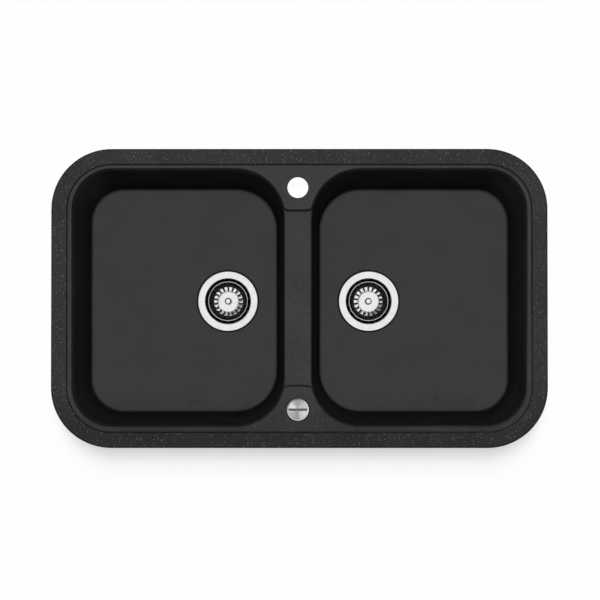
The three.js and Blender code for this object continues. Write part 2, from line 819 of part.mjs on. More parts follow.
// ------------------------------------------------------------------ basket, post and stopper
const basketRim = cupRadius - basketInset;
const basketFloor = -cupDepth + basketStand;
const discTop = basketFloor + discRise;
const discUnder = discTop - basketSheet;
const slotEnd = basketRim - slotRimGap;

// The strainer basket: a bowl of thin steel with a raised disc, a rolled rim and radial slots.
function basket() {
  const troughRadius = (discRadius + slotEnd) / 2;
  const trough = basketFloor + basketSheet;
  const wallFoot = basketFloor + wallFootShare * (-basketRimDrop - basketFloor);
  const lean = basketSheet / 2; // where the sheet slopes
  const inside = [
    [boreRadius, discTop],
    [discRadius, discTop],
    [discRadius + lean, trough - discGroove],
    [troughRadius, trough],
    [slotEnd - lean, wallFoot],
    [basketRim - basketBead, -basketRimDrop],
  ];
  const bead = [90, 0].map((angle) => [
    basketRim + basketBead * Math.cos(radians(angle)),
    -basketRimDrop + basketBead * Math.sin(radians(angle)),
  ]);
  const outside = [
    [slotEnd + lean, wallFoot - lean],
    [troughRadius + lean, trough - basketSheet],
    [discRadius - lean, trough - basketSheet - discGroove],
    [discRadius - basketSheet, discUnder],
    [boreRadius, discUnder],
  ];
  // Two facets to a slot, turned so that each slot lies inside one of them.
  const whole = turned([...inside, ...bead, ...outside], slots * 2).rotateZ(radians(90 / slots));
  const half = slotWidth / 2;
  const from = discRadius + slotMargin;
  const slot = outlined([
    [from, -half], [slotEnd - half, -half], [slotEnd, 0], [slotEnd - half, half], [from, half],
  ]);
  const cutter = prism(slot, basketFloor - past, -basketRimDrop - 2 * basketBead);
  return cut(whole, ...aroundAxis(cutter, slots, 90));
}

// The post with the lift knob on top. It passes through the basket, the stopper and the nut.
function basketPost() {
  const seat = discTop + seatGap;
  const foot = postRadius + postFoot;
  const stem = postRadius + postShoulder;
  const knobUnder = basketFloor + liftKnobRise - liftKnobHeight;
  return turned([
    [0, pinTop + runGap],
    [postRadius, pinTop + runGap],
    [postRadius, seat],
    [foot, seat],
    [stem, seat + postFootHeight],
    [stem, knobUnder],
    ...liftKnobProfile.map(([out, up]) => [liftKnobRadius * out, knobUnder + liftKnobHeight * up]),
  ], smallSegments);
}

const stopperUnder = basketFloor - stopperDrop;

// The rubber stopper hangs under the basket. Its lip seats on the floor of the cup.
function stopper() {
  const lipRadius = cupFloorRadius - stopperInset;
  const lip = -cupDepth + seatGap + stopperLip;
  const collarTop = discUnder - seatGap;
  const onFace = ([out, up]) => [lipRadius * out, stopperUnder + stopperDrop * up];
  return turned([
    [boreRadius, stopperUnder],
    ...stopperBelow.map(onFace),
    [lipRadius - stopperLipWidth, lip],
    [lipRadius, lip + stopperLip],
    ...stopperOnTop.map(onFace),
    [boreRadius + stopperCollar, collarTop],
    [boreRadius, collarTop],
  ], hiddenSegments);
}

const stopperNut = () => {
  const top = stopperUnder - seatGap;
  const bottom = top - stopperNutHeight;
  return cut(prism(hexagon(stopperNutFlats), bottom, top), disc(boreRadius, bottom - past, top + past));
};

// ------------------------------------------------------------------ lever of the right-hand waste
// The lever lies along X, from the middle of the outlet out through its wall, and turns about Y.
const innerArm = outletOutside + pivotFromOutlet;
const leverSwing = 2 * Math.asin(lift / 2 / innerArm);
const pivotZ = -cupDepth - pivotBelowCup;
const pinTop = -cupDepth - screwLength / 2; // where the lift pin meets the basket's post
const pinBottom = pivotZ - lift / 2 + noseRadius + runGap;
const housingHalf = leverWidth / 2 + housingSide;
const housingOutside = housingHalf + housingWall;
const leverEnd = outerArm + leverTail; // pivot to the cable end of the lever
const housingEnd = innerArm + leverEnd + housingTail;
const housingTop = pivotZ + housingRoom;
const housingBottom = pivotZ - housingRoom;
const glandX = innerArm + outerArm;

// The outlet of the remotely worked waste, with a window for the lever. It is welded to the body.
function tailpiece() {
  const tube = washer(outletRadius, outletOutside, outletEnd, outletTop - seatGap);
  const window = slab(
    outletRadius - past,
    outletOutside + past,
    housingHalf,
    pivotZ - windowReach,
    pivotZ + windowReach,
  );
  return cut(tube, window);
}

// The housing of the lever, open below. It is welded to the outside of the body and the tailpiece.
function leverHousing() {
  const housing = slab(outletRadius, housingEnd, housingOutside, housingBottom, housingTop);
  const room = slab(
    outletRadius - past,
    housingEnd - housingWall,
    housingHalf,
    housingBottom - past,
    housingTop - housingWall,
  );
  const weldedTo = turned([
    [0, funnelTop],
    [bodyRadius + bodyWall + seatGap, funnelTop],
    [outletOutside + seatGap, outletTop],
    [outletOutside + seatGap, outletEnd],
    [0, outletEnd],
  ], hiddenSegments);
  const pinHole = crossBar(pivotRadius + runGap, 2 * (housingOutside + past), [innerArm, 0, pivotZ]);
  return cut(housing, room, weldedTo, pinHole);
}

const leverPivot = () => crossBar(pivotRadius, 2 * housingOutside, [innerArm, 0, pivotZ]);

const liftPin = () => disc(postRadius - runGap / 3, pinBottom, pinTop);

// The cover closes the housing from below and carries the gland of the cable.
function housingCover() {
  const top = housingBottom - seatGap;
  const bottom = top - coverThickness;
  const from = outletOutside + runGap;
  const lipFrom = from + coverLipInset;
  const lipEnd = housingEnd - housingWall - runGap;
  const lipHalf = housingHalf - runGap;
  const plate = slab(from, housingEnd, housingOutside, bottom, top);
  const lip = slab(lipFrom, lipEnd, lipHalf, top - lap, top + coverLip);
  const inside = slab(
    lipFrom + coverLipWall,
    lipEnd - coverLipWall,
    lipHalf - coverLipWall,
    top,
    top + coverLip + past,
  );
  const gland = disc(glandRadius, bottom - leverGlandLength, top - lap).translate(glandX, 0, 0);
  const glandEnd = bottom - leverGlandLength - past;
  const bore = disc(glandBore, glandEnd, top + past, smallSegments).translate(glandX, 0, 0);
  return cut(joined(cut(joined(plate, lip), inside), gland), bore);
}

// The lever, drawn level with its pivot at the origin and the cable towards +X.
function leverArm() {
  const half = leverWidth / 2;
  const halfThickness = leverThickness / 2;
  const bar = slab(-innerArm, leverEnd, half, -halfThickness, halfThickness);
  const nose = crossBar(noseRadius, leverWidth, [-innerArm, 0, 0]);
  const boss = crossBar(leverBoss, leverWidth, [0, 0, 0]);
  const hole = crossBar(pivotRadius + runGap, leverWidth + past, [0, 0, 0]);
  const slot = slab(outerArm - cableSlot, leverEnd + past, cableSlot, -past, past);
  return cut(joined(bar, nose, boss), hole, slot);
}

// ------------------------------------------------------------------ control knob, about its own axis
const shaftBore = spindleRadius + runGap;
const knobGasketTop = deckTop + seatGap + knobGasketThickness;
const sleeveFlangeUnder = knobGasketTop + seatGap;
const sleeveFlangeTop = sleeveFlangeUnder + sleeveFlangeThickness;
const knobBottom = sleeveFlangeTop + runGap;
const knobTop = knobBottom + knobHeight;
const knobHub = shaftBore + knobHubWall;
const spindleTop = knobTop - knobSocketRoof - runGap;

function controlKnob() {
  const skirt = knobRadius - knobSkirt;
  const roof = knobTop - knobRoof;
  const socketTop = knobTop - knobSocketRoof;
  const whole = turned([
    [shaftBore, knobBottom],
    [knobHub, knobBottom],
    [knobHub, roof],
    [skirt, roof],
    [skirt, knobBottom],
    [knobRadius, knobBottom],
    [knobRadius, knobTop - knobChamfer],
    [knobRadius - knobChamfer, knobTop],
    [0, knobTop + knobCrown],
    [0, socketTop],
    [shaftBore, socketTop],
  ]);
  const grip = slab(-gripLength / 2, gripLength / 2, gripWidth / 2, knobTop - gripDepth, knobTop + past);
  const key = [0, -spindleRadius - knobRadius / 2, knobBottom + grubHeight];
  const keyHole = crossBar(grubRadius + runGap, knobRadius, key, tinySegments);
  return cut(whole, grip, keyHole);
}

// The grub screw clamps the knob's hub to the spindle.
const knobGrub = () => {
  const length = knobHubWall - runGap;
  const middle = [0, -shaftBore - length / 2, knobBottom + grubHeight];
  return crossBar(grubRadius, length, middle, tinySegments);
};

const sleeveFlangeRadius = knobHole + sleeveFlangeLap;
const sleeveRadius = knobHole - runGap;

const knobGasket = () => (
  washer(knobHole + gasketInset, sleeveFlangeRadius - gasketInset, deckTop + seatGap, knobGasketTop)
);

const knobWasherBottom = deckUnder - seatGap - gasketThickness;
const nutBottom = knobWasherBottom - seatGap - nutHeight;
const nutFlats = 2 * (knobHole + nutWall);
const caseTop = nutBottom - nutToCase;
const sleeveEnd = caseTop - caseNeck;

// The sleeve through the deck. Its bore holds the spindle at the top and widens below.
function knobSleeve() {
  const bearingEnd = sleeveFlangeUnder - bearingLength;
  return turned([
    [shaftBore, bearingEnd],
    [sleeveRadius - sleeveWall, bearingEnd - bearingTaper],
    [sleeveRadius - sleeveWall, sleeveEnd],
    [sleeveRadius, sleeveEnd],
    [sleeveRadius, sleeveFlangeUnder],
    [sleeveFlangeRadius, sleeveFlangeUnder],
    [sleeveFlangeRadius, sleeveFlangeTop - smallEdge],
    [sleeveFlangeRadius - smallEdge, sleeveFlangeTop],
    [shaftBore, sleeveFlangeTop],
  ], hiddenSegments);
}

const knobWasher = () => {
  const outside = nutFlats / 2 + washerWall;
  return washer(sleeveRadius + runGap, outside, knobWasherBottom, knobWasherBottom + gasketThickness);
};

const knobNut = () => cut(
  prism(hexagon(nutFlats), nutBottom, nutBottom + nutHeight),
  disc(sleeveRadius + runGap, nutBottom - past, nutBottom + nutHeight + past, hiddenSegments),
);

// ------------------------------------------------------------------ cable drum and its case
const drumTop = sleeveEnd - drumRoom;
const drumBottom = drumTop - drumHeight;
const spindleEnd = drumBottom - spindleTail;
const grooveRadius = spindleRadius + drumWall;
const drumRadius = grooveRadius + drumFlange;
const cableZ = (drumTop + drumBottom) / 2;
const caseInside = drumRadius + drumSideRoom;
const caseRadius = knobHole + caseWall;
const caseBottom = spindleEnd - caseFloorRoom;

const knobSpindle = () => disc(spindleRadius, spindleEnd, spindleTop);

// The drum that winds the cable, with the pocket of the cable's nipple in its upper flange.
function cableDrum() {
  const flange = drumHeight / 4;
  const whole = turned([
    [shaftBore, drumBottom],
    [drumRadius, drumBottom],
    [drumRadius, drumBottom + flange],
    [grooveRadius, drumBottom + flange + grooveSlope],
    [grooveRadius, drumTop - flange - grooveSlope],
    [drumRadius, drumTop - flange],
    [drumRadius, drumTop],
    [shaftBore, drumTop],
  ], hiddenSegments);
  const pocket = disc(glandBore, cableZ - glandBore, drumTop + past, tinySegments);
  return cut(whole, pocket.translate(0, drumRadius - drumFlange / 2, 0));
}

// The case screws onto the sleeve from below. Its gland points into the gap between the bowls.
function drumCase() {
  const neck = sleeveRadius + runGap;
  const shoulder = sleeveEnd - seatGap;
  const whole = turned([
    [neck, shoulder],
    [neck, caseTop],
    [caseRadius, caseTop],
    [caseRadius, caseBottom],
    [caseInside + coverRebate, caseBottom],
    [caseInside + coverRebate, caseBottom + coverPlug],
    [caseInside, caseBottom + coverPlug],
    [caseInside, shoulder],
  ], hiddenSegments);
  const from = caseInside + lap;
  const to = caseRadius + glandLength;
  const gland = crossBar(glandRadius, to - from, [grooveRadius, (from + to) / 2, cableZ], smallSegments);
  const bore = crossBar(glandBore, 2 * to, [grooveRadius, to + grooveRadius, cableZ], tinySegments);
  return cut(joined(whole, gland), bore);
}

// The cover plugs into the case and carries the lower end of the spindle on a boss.
function drumCover() {
  const plug = caseInside + coverRebate - runGap;
  const plugTop = caseBottom + coverPlug - seatGap;
  const floor = caseBottom + coverFloor;
  const boss = spindleRadius + coverBossWall;
  const bossTop = spindleEnd - runGap;
  return turned([
    [0, caseBottom - coverPlate],
    [caseRadius, caseBottom - coverPlate],
    [caseRadius, caseBottom - seatGap],
    [plug, caseBottom - seatGap],
    [plug, plugTop],
    [plug - coverPlugWall, plugTop],
    [plug - coverPlugWall, floor],
    [boss, floor],
    [boss, bossTop],
    [0, bossTop],
  ], hiddenSegments);
}

// ------------------------------------------------------------------ fixing claw, rim's edge towards +X
const clawTop = -worktopThickness - clawLip;
const clawUnder = clawTop - clawPlate;

function claw() {
  const tip = clawScrewInset - clawTipInset;
  const half = clawWidth / 2;
  const heel = clawHeelWidth / 2;
  const shoulder = -clawHeelReach / 3;
  const shape = outlined([
    [-clawHeelReach, -heel],
    [shoulder, -half],
    [tip, -half],
    [tip, half],
    [shoulder, half],
    [-clawHeelReach, heel],
  ]);
  const plate = prism(shape, clawUnder, clawTop);
  const lip = slab(tip - clawPlate, tip, half, clawTop - lap, -worktopThickness);
  const post = slab(-clawHeelReach, clawPlate - clawHeelReach, heel, clawTop - lap, -bossEnd - runGap);
  const hole = disc(clawScrewRadius + runGap, clawUnder - past, clawTop + past, tinySegments);
  return cut(joined(plate, lip, post), hole);
}

function clawScrew() {
  const headTop = clawUnder - seatGap;
  return turned([
    [0, headTop - clawScrewHeadHeight],
    [clawScrewHead, headTop - clawScrewHeadHeight],
    [clawScrewHead, headTop],
    [clawScrewRadius, headTop],
    [clawScrewRadius, clawHoleTop - runGap],
    [0, clawHoleTop - runGap],
  ], tinySegments);
}

// ------------------------------------------------------------------ assembly
const sink = new THREE.Group();
sink.name = 'double_bowl_sink';

function groupAt(x, y, z, turn) {
  const group = new THREE.Group();
  group.position.set(x, y, z);
  group.rotation.z = radians(turn);
  sink.add(group);
  return group;
}

function place(group, name, shape, material) {
  const mesh = new THREE.Mesh(geometryOf(solid(shape)), material);
  mesh.name = name;
  group.add(mesh);
  return mesh;
}

place(sink, 'sink_body', sinkBody(), granite);
place(sink, 'rim_seal', rimSeal(), foam);

// The pieces that both wastes have. Only their plastic bodies differ.
function placeWaste(group, name, body) {
  place(group, `${name}_flange`, wasteFlange(), polished);
  place(group, `${name}_flange_gasket`, flangeGasket(), rubber);
  place(group, `${name}_under_gasket`, underGasket(), rubber);
  place(group, `${name}_centre_screw`, centreScrew(), brushed);
  place(group, `${name}_body`, body, whitePlastic);
  place(group, `${name}_basket`, basket(), polished);
  place(group, `${name}_basket_post`, basketPost(), polished);
  place(group, `${name}_stopper`, stopper(), rubber);
  place(group, `${name}_stopper_nut`, stopperNut(), brushed);
}

const leftWaste = groupAt(drainX(-1), 0, floorZ, 0);
placeWaste(leftWaste, 'left_waste', wasteBodyShell([
  [outletOutside, outletEnd],
  [outletRadius, outletEnd],
]));

// The housing of the right-hand waste's lever points at the front.
const rightWaste = groupAt(drainX(1), 0, floorZ, -90);
placeWaste(rightWaste, 'right_waste', wasteBodyShell([]));
place(rightWaste, 'right_waste_tailpiece', tailpiece(), whitePlastic);
place(rightWaste, 'lever_housing', leverHousing(), whitePlastic);
place(rightWaste, 'lever_cover', housingCover(), whitePlastic);
place(rightWaste, 'lever_pivot', leverPivot(), brushed);
place(rightWaste, 'lift_pin', liftPin(), brushed);
const lever = place(rightWaste, 'lift_lever', leverArm(), zinc);
lever.position.set(innerArm, 0, pivotZ);
lever.rotation.y = -leverSwing / 2;

const control = groupAt(centreX, knobY, 0, 0);
place(control, 'control_knob', controlKnob(), brushed);
place(control, 'knob_grub_screw', knobGrub(), zinc);
place(control, 'knob_gasket', knobGasket(), rubber);
place(control, 'knob_sleeve', knobSleeve(), brushed);
place(control, 'knob_washer', knobWasher(), rubber);
place(control, 'knob_nut', knobNut(), zinc);
place(control, 'knob_spindle', knobSpindle(), brushed);
place(control, 'cable_drum', cableDrum(), whitePlastic);
place(control, 'drum_case', drumCase(), blackPlastic);
place(control, 'drum_cover', drumCover(), blackPlastic);

clawSeats.forEach(({ x, y, turn }, i) => {
  const seat = groupAt(x, y, 0, turn);
  place(seat, `fixing_claw_${i + 1}`, claw(), zinc);
  place(seat, `claw_screw_${i + 1}`, clawScrew(), zinc);
});

export default sink;
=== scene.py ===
"""Double bowl kitchen sink: the finished surfaces round its packed construction.

The frame is in metres, +X to the right, +Y to the tap side, +Z up. The origin is the middle of the rim's
outline, in the plane of the worktop's top surface. Sizes and profiles are in millimetres.
"""

import logging
import math
from collections.abc import Callable, Iterable
from dataclasses import dataclass, replace
from enum import Enum

import bmesh
import bpy
from mathutils import Matrix, Vector


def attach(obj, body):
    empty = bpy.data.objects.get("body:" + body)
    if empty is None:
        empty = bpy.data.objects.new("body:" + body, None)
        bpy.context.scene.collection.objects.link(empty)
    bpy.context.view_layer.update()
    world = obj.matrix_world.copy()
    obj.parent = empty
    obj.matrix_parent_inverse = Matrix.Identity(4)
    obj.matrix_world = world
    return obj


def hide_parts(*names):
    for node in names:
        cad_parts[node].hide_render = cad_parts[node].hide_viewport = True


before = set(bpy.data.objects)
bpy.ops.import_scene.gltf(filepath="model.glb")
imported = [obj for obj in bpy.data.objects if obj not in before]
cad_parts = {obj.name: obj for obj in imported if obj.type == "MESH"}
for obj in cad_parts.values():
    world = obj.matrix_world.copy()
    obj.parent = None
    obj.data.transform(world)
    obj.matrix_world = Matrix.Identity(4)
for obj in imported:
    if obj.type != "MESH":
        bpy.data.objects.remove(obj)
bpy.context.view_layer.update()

MM = 0.001
LOG = logging.getLogger("double_bowl_sink")
Object = bpy.types.Object
Material = bpy.types.Material
Point = tuple[float, float]
Profile = list[Point]
Ring = list[Vector]
ON_AXIS: Point = (0.0, 0.0)


# ---------------------------------------------------------------- modelling with the edit tools


def finish_edit() -> None:
    """Go back to object mode."""
    bpy.ops.object.mode_set(mode="OBJECT")


def clear_selection() -> None:
    """Leave edit mode and deselect every object."""
    if bpy.context.object is not None and bpy.context.object.mode != "OBJECT":
        finish_edit()
    bpy.ops.object.select_all(action="DESELECT")


def only(*objects: Object) -> None:
    """Select these objects alone. The first one becomes the active one.

    Args:
        objects: The objects to select.
    """
    clear_selection()
    for obj in objects:
        obj.select_set(True)
    bpy.context.view_layer.objects.active = objects[0]


def named(name: str) -> Object:
    """Give the active object and its data a name.

    Args:
        name: The piece's name.

    Returns:
        The object.
    """
    obj = bpy.context.object
    obj.name = obj.data.name = name
    return obj


def edit(obj: Object, selected: str = "DESELECT") -> None:
    """Enter edit mode on one object.

    Args:
        obj: The object to edit.
        selected: SELECT to start with everything selected, DESELECT with nothing.
    """
    only(obj)
    bpy.ops.object.mode_set(mode="EDIT")
    bpy.ops.mesh.select_mode(type="VERT")
    bpy.ops.mesh.select_all(action=selected)


def select_edges(obj: Object, wanted: Callable[[bmesh.types.BMEdge], bool]) -> None:
    """Enter edit mode with the edges selected that a rule picks.

    Args:
        obj: The object to edit.
        wanted: Says of an edge whether it is selected.
    """
    edit(obj)
    bpy.ops.mesh.select_mode(type="EDGE")
    mesh = bmesh.from_edit_mesh(obj.data)
    for edge in mesh.edges:
        edge.select_set(wanted(edge))
    bmesh.update_edit_mesh(obj.data)


def joined(name: str, *objects: Object) -> Object:
    """Join objects into the first one.

    Args:
        name: The name of the joined piece.
        objects: The objects to join.

    Returns:
        The joined object.
    """
    only(*objects)
    bpy.ops.object.join()
    return named(name)


def closed_line(name: str, points: Ring) -> Object:
    """Start a piece with a closed line, and stay in edit mode with the line selected.

    Args:
        name: The piece's name.
        points: The line's points. Each gets its place in the line as its station.

    Returns:
        The piece.
    """
    clear_selection()
    bpy.ops.mesh.primitive_circle_add(vertices=len(points), radius=1.0, fill_type="NOTHING")
    obj = named(name)
    bpy.ops.object.mode_set(mode="EDIT")
    mesh = bmesh.from_edit_mesh(obj.data)
    station = mesh.verts.layers.int.new("station")
    for index, vert in enumerate(mesh.verts):
        vert[station] = index
        vert.co = points[index]
    bmesh.update_edit_mesh(obj.data)
    return obj


def pulled(name: str, rings: list[Ring], capped: bool = False) -> Object:
    """Pull a skin from a closed line, ring by ring, by extruding its edge.

    Args:
        name: The piece's name.
        rings: Rings of equally many points, in order.
        capped: Close the first and the last ring with a face.

    Returns:
        The skin.
    """
    obj = closed_line(name, rings[0])
    if capped:
        bpy.ops.mesh.edge_face_add()
    for ring in rings[1:]:
        bpy.ops.mesh.extrude_edges_indiv()
        mesh = bmesh.from_edit_mesh(obj.data)
        station = mesh.verts.layers.int["station"]
        for vert in mesh.verts:
            if vert.select:
                vert.co = ring[vert[station]]
        bmesh.update_edit_mesh(obj.data)
        bpy.ops.mesh.select_mode(type="VERT")
        bpy.ops.mesh.select_mode(type="EDGE")
    if capped:
        bpy.ops.mesh.edge_face_add()
    finish_edit()
    return obj


def make_solid(obj: Object, distance: float = 1e-6) -> Object:
    """Merge what lies together and turn every face outwards.

    Args:
        obj: A closed skin.
        distance: Points nearer than this are merged.

    Returns:
        The same object.
    """
    edit(obj, "SELECT")
    bpy.ops.mesh.remove_doubles(threshold=distance)
    bpy.ops.mesh.delete_loose(use_verts=True, use_edges=True, use_faces=False)
    bpy.ops.mesh.select_all(action="SELECT")
    bpy.ops.mesh.normals_make_consistent(inside=False)
    finish_edit()
    return obj


def smooth(obj: Object, angle: float = 32) -> Object:
    """Shade smooth, with an edge where two faces meet at more than an angle.

    Args:
        obj: The object.
        angle: The angle in degrees.

    Returns:
        The same object.
    """
    only(obj)
    bpy.ops.object.shade_smooth_by_angle(angle=math.radians(angle))
    return obj


def turned(
    name: str, profile: Profile, centre: Point, steps: int = 96, origin_z: float = 0.0
) -> Object:
    """Spin a closed profile about a vertical axis.

    Args:
        name: The piece's name.
        profile: Radius and height of each point, in millimetres, closed on itself.
        centre: The axis in X and Y, in metres.
        steps: How many steps the spin has.
        origin_z: The height that the profile is measured from, in metres.

    Returns:
        The closed solid.
    """
    points = [Vector((centre[0] + r * MM, centre[1], origin_z + z * MM)) for r, z in profile]
    obj = closed_line(name, points)
    bpy.ops.mesh.select_all(action="SELECT")
    bpy.ops.mesh.spin(steps=steps, angle=2 * math.pi, center=(*centre, 0.0), axis=(0, 0, 1))
    finish_edit()
    return smooth(make_solid(obj))


def rounded(profile: Profile, radius: float, steps: int = 3) -> Profile:
    """Round the corners of a closed profile with arcs. Corners on the axis stay.

    Args:
        profile: The profile's corners, in millimetres.
        radius: The rounding, which is limited to two fifths of the shorter side at each corner.
        steps: How many pieces each arc has.

    Returns:
        The profile with its arcs.
    """
    most, shortest = 0.4, 1e-6
    points = [Vector(p) for p in profile]
    out: Profile = []
    for i, here in enumerate(points):
        before, after = points[i - 1] - here, points[(i + 1) % len(points)] - here
        if here.x == 0 or min(before.length, after.length) < shortest:
            out.append(tuple(here))
            continue
        half = before.angle(after) / 2
        reach = min(radius / math.tan(half), most * before.length, most * after.length)
        first, last = here + before.normalized() * reach, here + after.normalized() * reach
        for t in (step / steps for step in range(steps + 1)):
            out.append(tuple(first * (1 - t) ** 2 + here * 2 * t * (1 - t) + last * t * t))
    return out


def arc(radius: float, first: float, last: float, steps: int, middle: Point = ON_AXIS) -> Profile:
    """Points on an arc.

    Args:
        radius: The arc's radius.
        first: The angle where it starts, in degrees from +X.
        last: The angle where it ends.
        steps: How many pieces it has.
        middle: The middle of its circle.

    Returns:
        The points.
    """
    turns = [math.radians(first + (last - first) * i / steps) for i in range(steps + 1)]
    return [(middle[0] + radius * math.cos(t), middle[1] + radius * math.sin(t)) for t in turns]


def quarter(first: float, last: float, steps: int) -> Profile:
    """What a quarter circle of radius 1 leaves of its square, upwards and sideways, by angle."""
    return [(1 - y, 1 - x) for x, y in arc(1.0, first, last, steps)]


def combine(obj: Object, other: Object, operation: str) -> Object:
    """Apply a Boolean of one solid on another, and remove the second.

    Args:
        obj: The solid that stays.
        other: The solid that is used up.
        operation: DIFFERENCE or UNION.

    Returns:
        The solid that stays.
    """
    only(obj)
    modifier = obj.modifiers.new("combine", "BOOLEAN")
    modifier.operation = operation
    modifier.solver = "EXACT"
    modifier.object = other
    bpy.ops.object.modifier_apply(modifier=modifier.name)
    bpy.data.objects.remove(other)
    return obj


def cut_away(obj: Object, *cutters: Object) -> Object:
    """Take cutters out of a solid, and remove them.

    Args:
        obj: The solid.
        cutters: The closed cutters.

    Returns:
        The solid.
    """
    tool = joined("cutter", *cutters) if len(cutters) > 1 else cutters[0]
    return combine(obj, tool, "DIFFERENCE")


def flat_piece(name: str, outline: Profile, bottom: float, top: float) -> Object:
    """Raise a flat outline to a solid.

    Args:
        name: The piece's name.
        outline: The outline's points in X and Y, in metres.
        bottom: Height of its lower face.
        top: Height of its upper face.

    Returns:
        The closed solid.
    """
    rings = [[Vector((x, y, z)) for x, y in outline] for z in (bottom, top)]
    return smooth(make_solid(pulled(name, rings, capped=True)))


def round_edges(obj: Object, width: float, wanted: Callable[[Vector, Vector], bool]) -> None:
    """Bevel the sharp edges that a rule picks.

    Args:
        obj: The solid.
        width: The rounding's width.
        wanted: Says of an edge's two ends whether it is rounded.
    """
    sharpest = math.radians(35)

    def is_sharp(edge: bmesh.types.BMEdge) -> bool:
        """Whether an edge is sharp and wanted."""
        sharp = len(edge.link_faces) == 2 and edge.calc_face_angle(0) > sharpest
        return sharp and wanted(edge.verts[0].co, edge.verts[1].co)

    select_edges(obj, is_sharp)
    bpy.ops.mesh.bevel(offset=width, segments=3, affect="EDGES", clamp_overlap=True)
    finish_edit()


def box_piece(name: str, low: Vector, high: Vector, edge: float = 0.0) -> Object:
    """A box between two corners, with all its edges rounded.

    Args:
        name: The piece's name.
        low: Its lowest corner.
        high: Its highest corner.
        edge: The rounding.

    Returns:
        The closed solid.
    """
    clear_selection()
    bpy.ops.mesh.primitive_cube_add(size=1.0)
    obj = named(name)
    edit(obj, "SELECT")
    bpy.ops.transform.resize(value=tuple(high - low))
    bpy.ops.transform.translate(value=tuple((low + high) / 2))
    finish_edit()
    if edge:
        round_edges(obj, edge, lambda a, b: True)
    return smooth(obj)


def turn_mesh(obj: Object, matrix: Matrix) -> Object:
    """Move or turn a piece's mesh, so that its object stays at the origin.

    Args:
        obj: The piece.
        matrix: Where its mesh goes.

    Returns:
        The same piece.
    """
    obj.data.transform(matrix)
    obj.data.update()
    return obj


def copy_of(obj: Object, name: str, matrix: Matrix) -> Object:
    """Copy a piece with a mesh of its own.

    Args:
        obj: The piece.
        name: The copy's name.
        matrix: Where the copy's mesh goes.

    Returns:
        The copy.
    """
    twin = obj.copy()
    twin.data = obj.data.copy()
    twin.name = twin.data.name = name
    bpy.context.scene.collection.objects.link(twin)
    return turn_mesh(twin, matrix)


def discard(*spares: Object) -> None:
    """Remove pieces that only served as patterns."""
    for spare in spares:
        bpy.data.objects.remove(spare)


def bar(name: str, radius: float, first: Vector, last: Vector, steps: int = 32) -> Object:
    """A round bar between two points, in millimetres.

    Args:
        name: The piece's name.
        radius: Its radius.
        first: One end.
        last: The other end.
        steps: How many sides it has.

    Returns:
        The closed solid.
    """
    clear_selection()
    along = last - first
    bpy.ops.mesh.primitive_cylinder_add(vertices=steps, radius=radius * MM, depth=along.length * MM)
    turn = along.to_track_quat("Z", "Y").to_matrix().to_4x4()
    return turn_mesh(named(name), Matrix.Translation((first + last) / 2 * MM) @ turn)


def threads(radius: float, depth: float, first: float, last: float, pitch: float) -> Profile:
    """The outline of a thread's ridges on a turned piece.

    Args:
        radius: The crests' radius.
        depth: Depth of the grooves.
        first: Height where the thread starts.
        last: Height where it ends.
        pitch: Distance between the crests.

    Returns:
        The outline from the first height to the last.
    """
    count = max(1, int(abs(last - first) / pitch))
    step = (last - first) / count
    ridge = ((radius, 0.0), (radius, 0.25), (radius - depth, 0.5), (radius - depth, 0.75))
    out = [(r, first + step * i + share * step) for i in range(count) for r, share in ridge]
    return [*out, (radius, last)]


def hexagon(flats: float, centre: Point) -> Profile:
    """A hexagon's corners in metres, by its width over the flats in millimetres and its centre."""
    return arc(flats / 2 / math.cos(math.pi / 6) * MM, 30, 330, 5, centre)


def ring_profile(inner: float, outer: float, bottom: float, top: float) -> Profile:
    """The section of a flat ring."""
    return [(inner, bottom), (outer, bottom), (outer, top), (inner, top)]


# ---------------------------------------------------------------- slots and finishing a piece


class Slot(Enum):
    """Finishes of the record."""

    GRANITE = "granite_composite"
    POLISHED = "polished_steel"
    BRUSHED = "brushed_steel"
    ZINC = "zinc_plated_steel"
    RUBBER = "black_rubber"
    FOAM = "grey_foam"
    WHITE = "white_plastic"
    BLACK = "black_plastic"


def put_in_place(obj: Object, name: str, material: Material, slot: Slot, body: str, *nodes: str) -> None:
    """Give a finished piece its name and material, and tie it to the construction.

    Args:
        obj: The piece.
        name: Its name.
        material: Its material.
        slot: The finish it stands for. It is not used.
        body: The body it moves with.
        nodes: The nodes of the construction that it replaces.
    """
    obj.name = name
    obj.data.materials.clear()
    obj.data.materials.append(material)
    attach(obj, body)
    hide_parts(*nodes)
    LOG.info("%s: %d faces", obj.name, len(obj.data.polygons))


def dress(node: str, material: Material, edge: float) -> None:
    """Keep a node of the construction, with a material and softened edges.

    Args:
        node: The node's name.
        material: Its material.
        edge: Width of its edges' bevel, in millimetres.
    """
    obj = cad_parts[node]
    obj.data.materials.clear()
    obj.data.materials.append(material)
    bevel = obj.modifiers.new("soft_edges", "BEVEL")
    bevel.width = edge * MM
    bevel.segments = 2
    bevel.limit_method = "ANGLE"
    bevel.angle_limit = math.radians(40)
    LOG.info("%s: kept, edges of %.2f mm", node, edge)


@dataclass(frozen=True)
class TurnedPart:
    """A piece that is turned on a lathe or moulded round an axis."""

    node: str
    slot: Slot
    profile: Profile
    rounding: float = 0.3
    steps: int = 96
    body: str = "sink"

    def build(self, finishes: "Finishes", centre: Point, origin_z: float) -> None:
        """Make the piece.

        Args:
            finishes: The materials.
            centre: Its axis, in metres.
            origin_z: The height that its profile is measured from, in metres.
        """
        name = self.node + "_shape"
        obj = turned(name, rounded(self.profile, self.rounding), centre, self.steps, origin_z)
        put_in_place(obj, name, finishes.on_axis(self.slot, centre), self.slot, self.body, self.node)


# ---------------------------------------------------------------- outlines


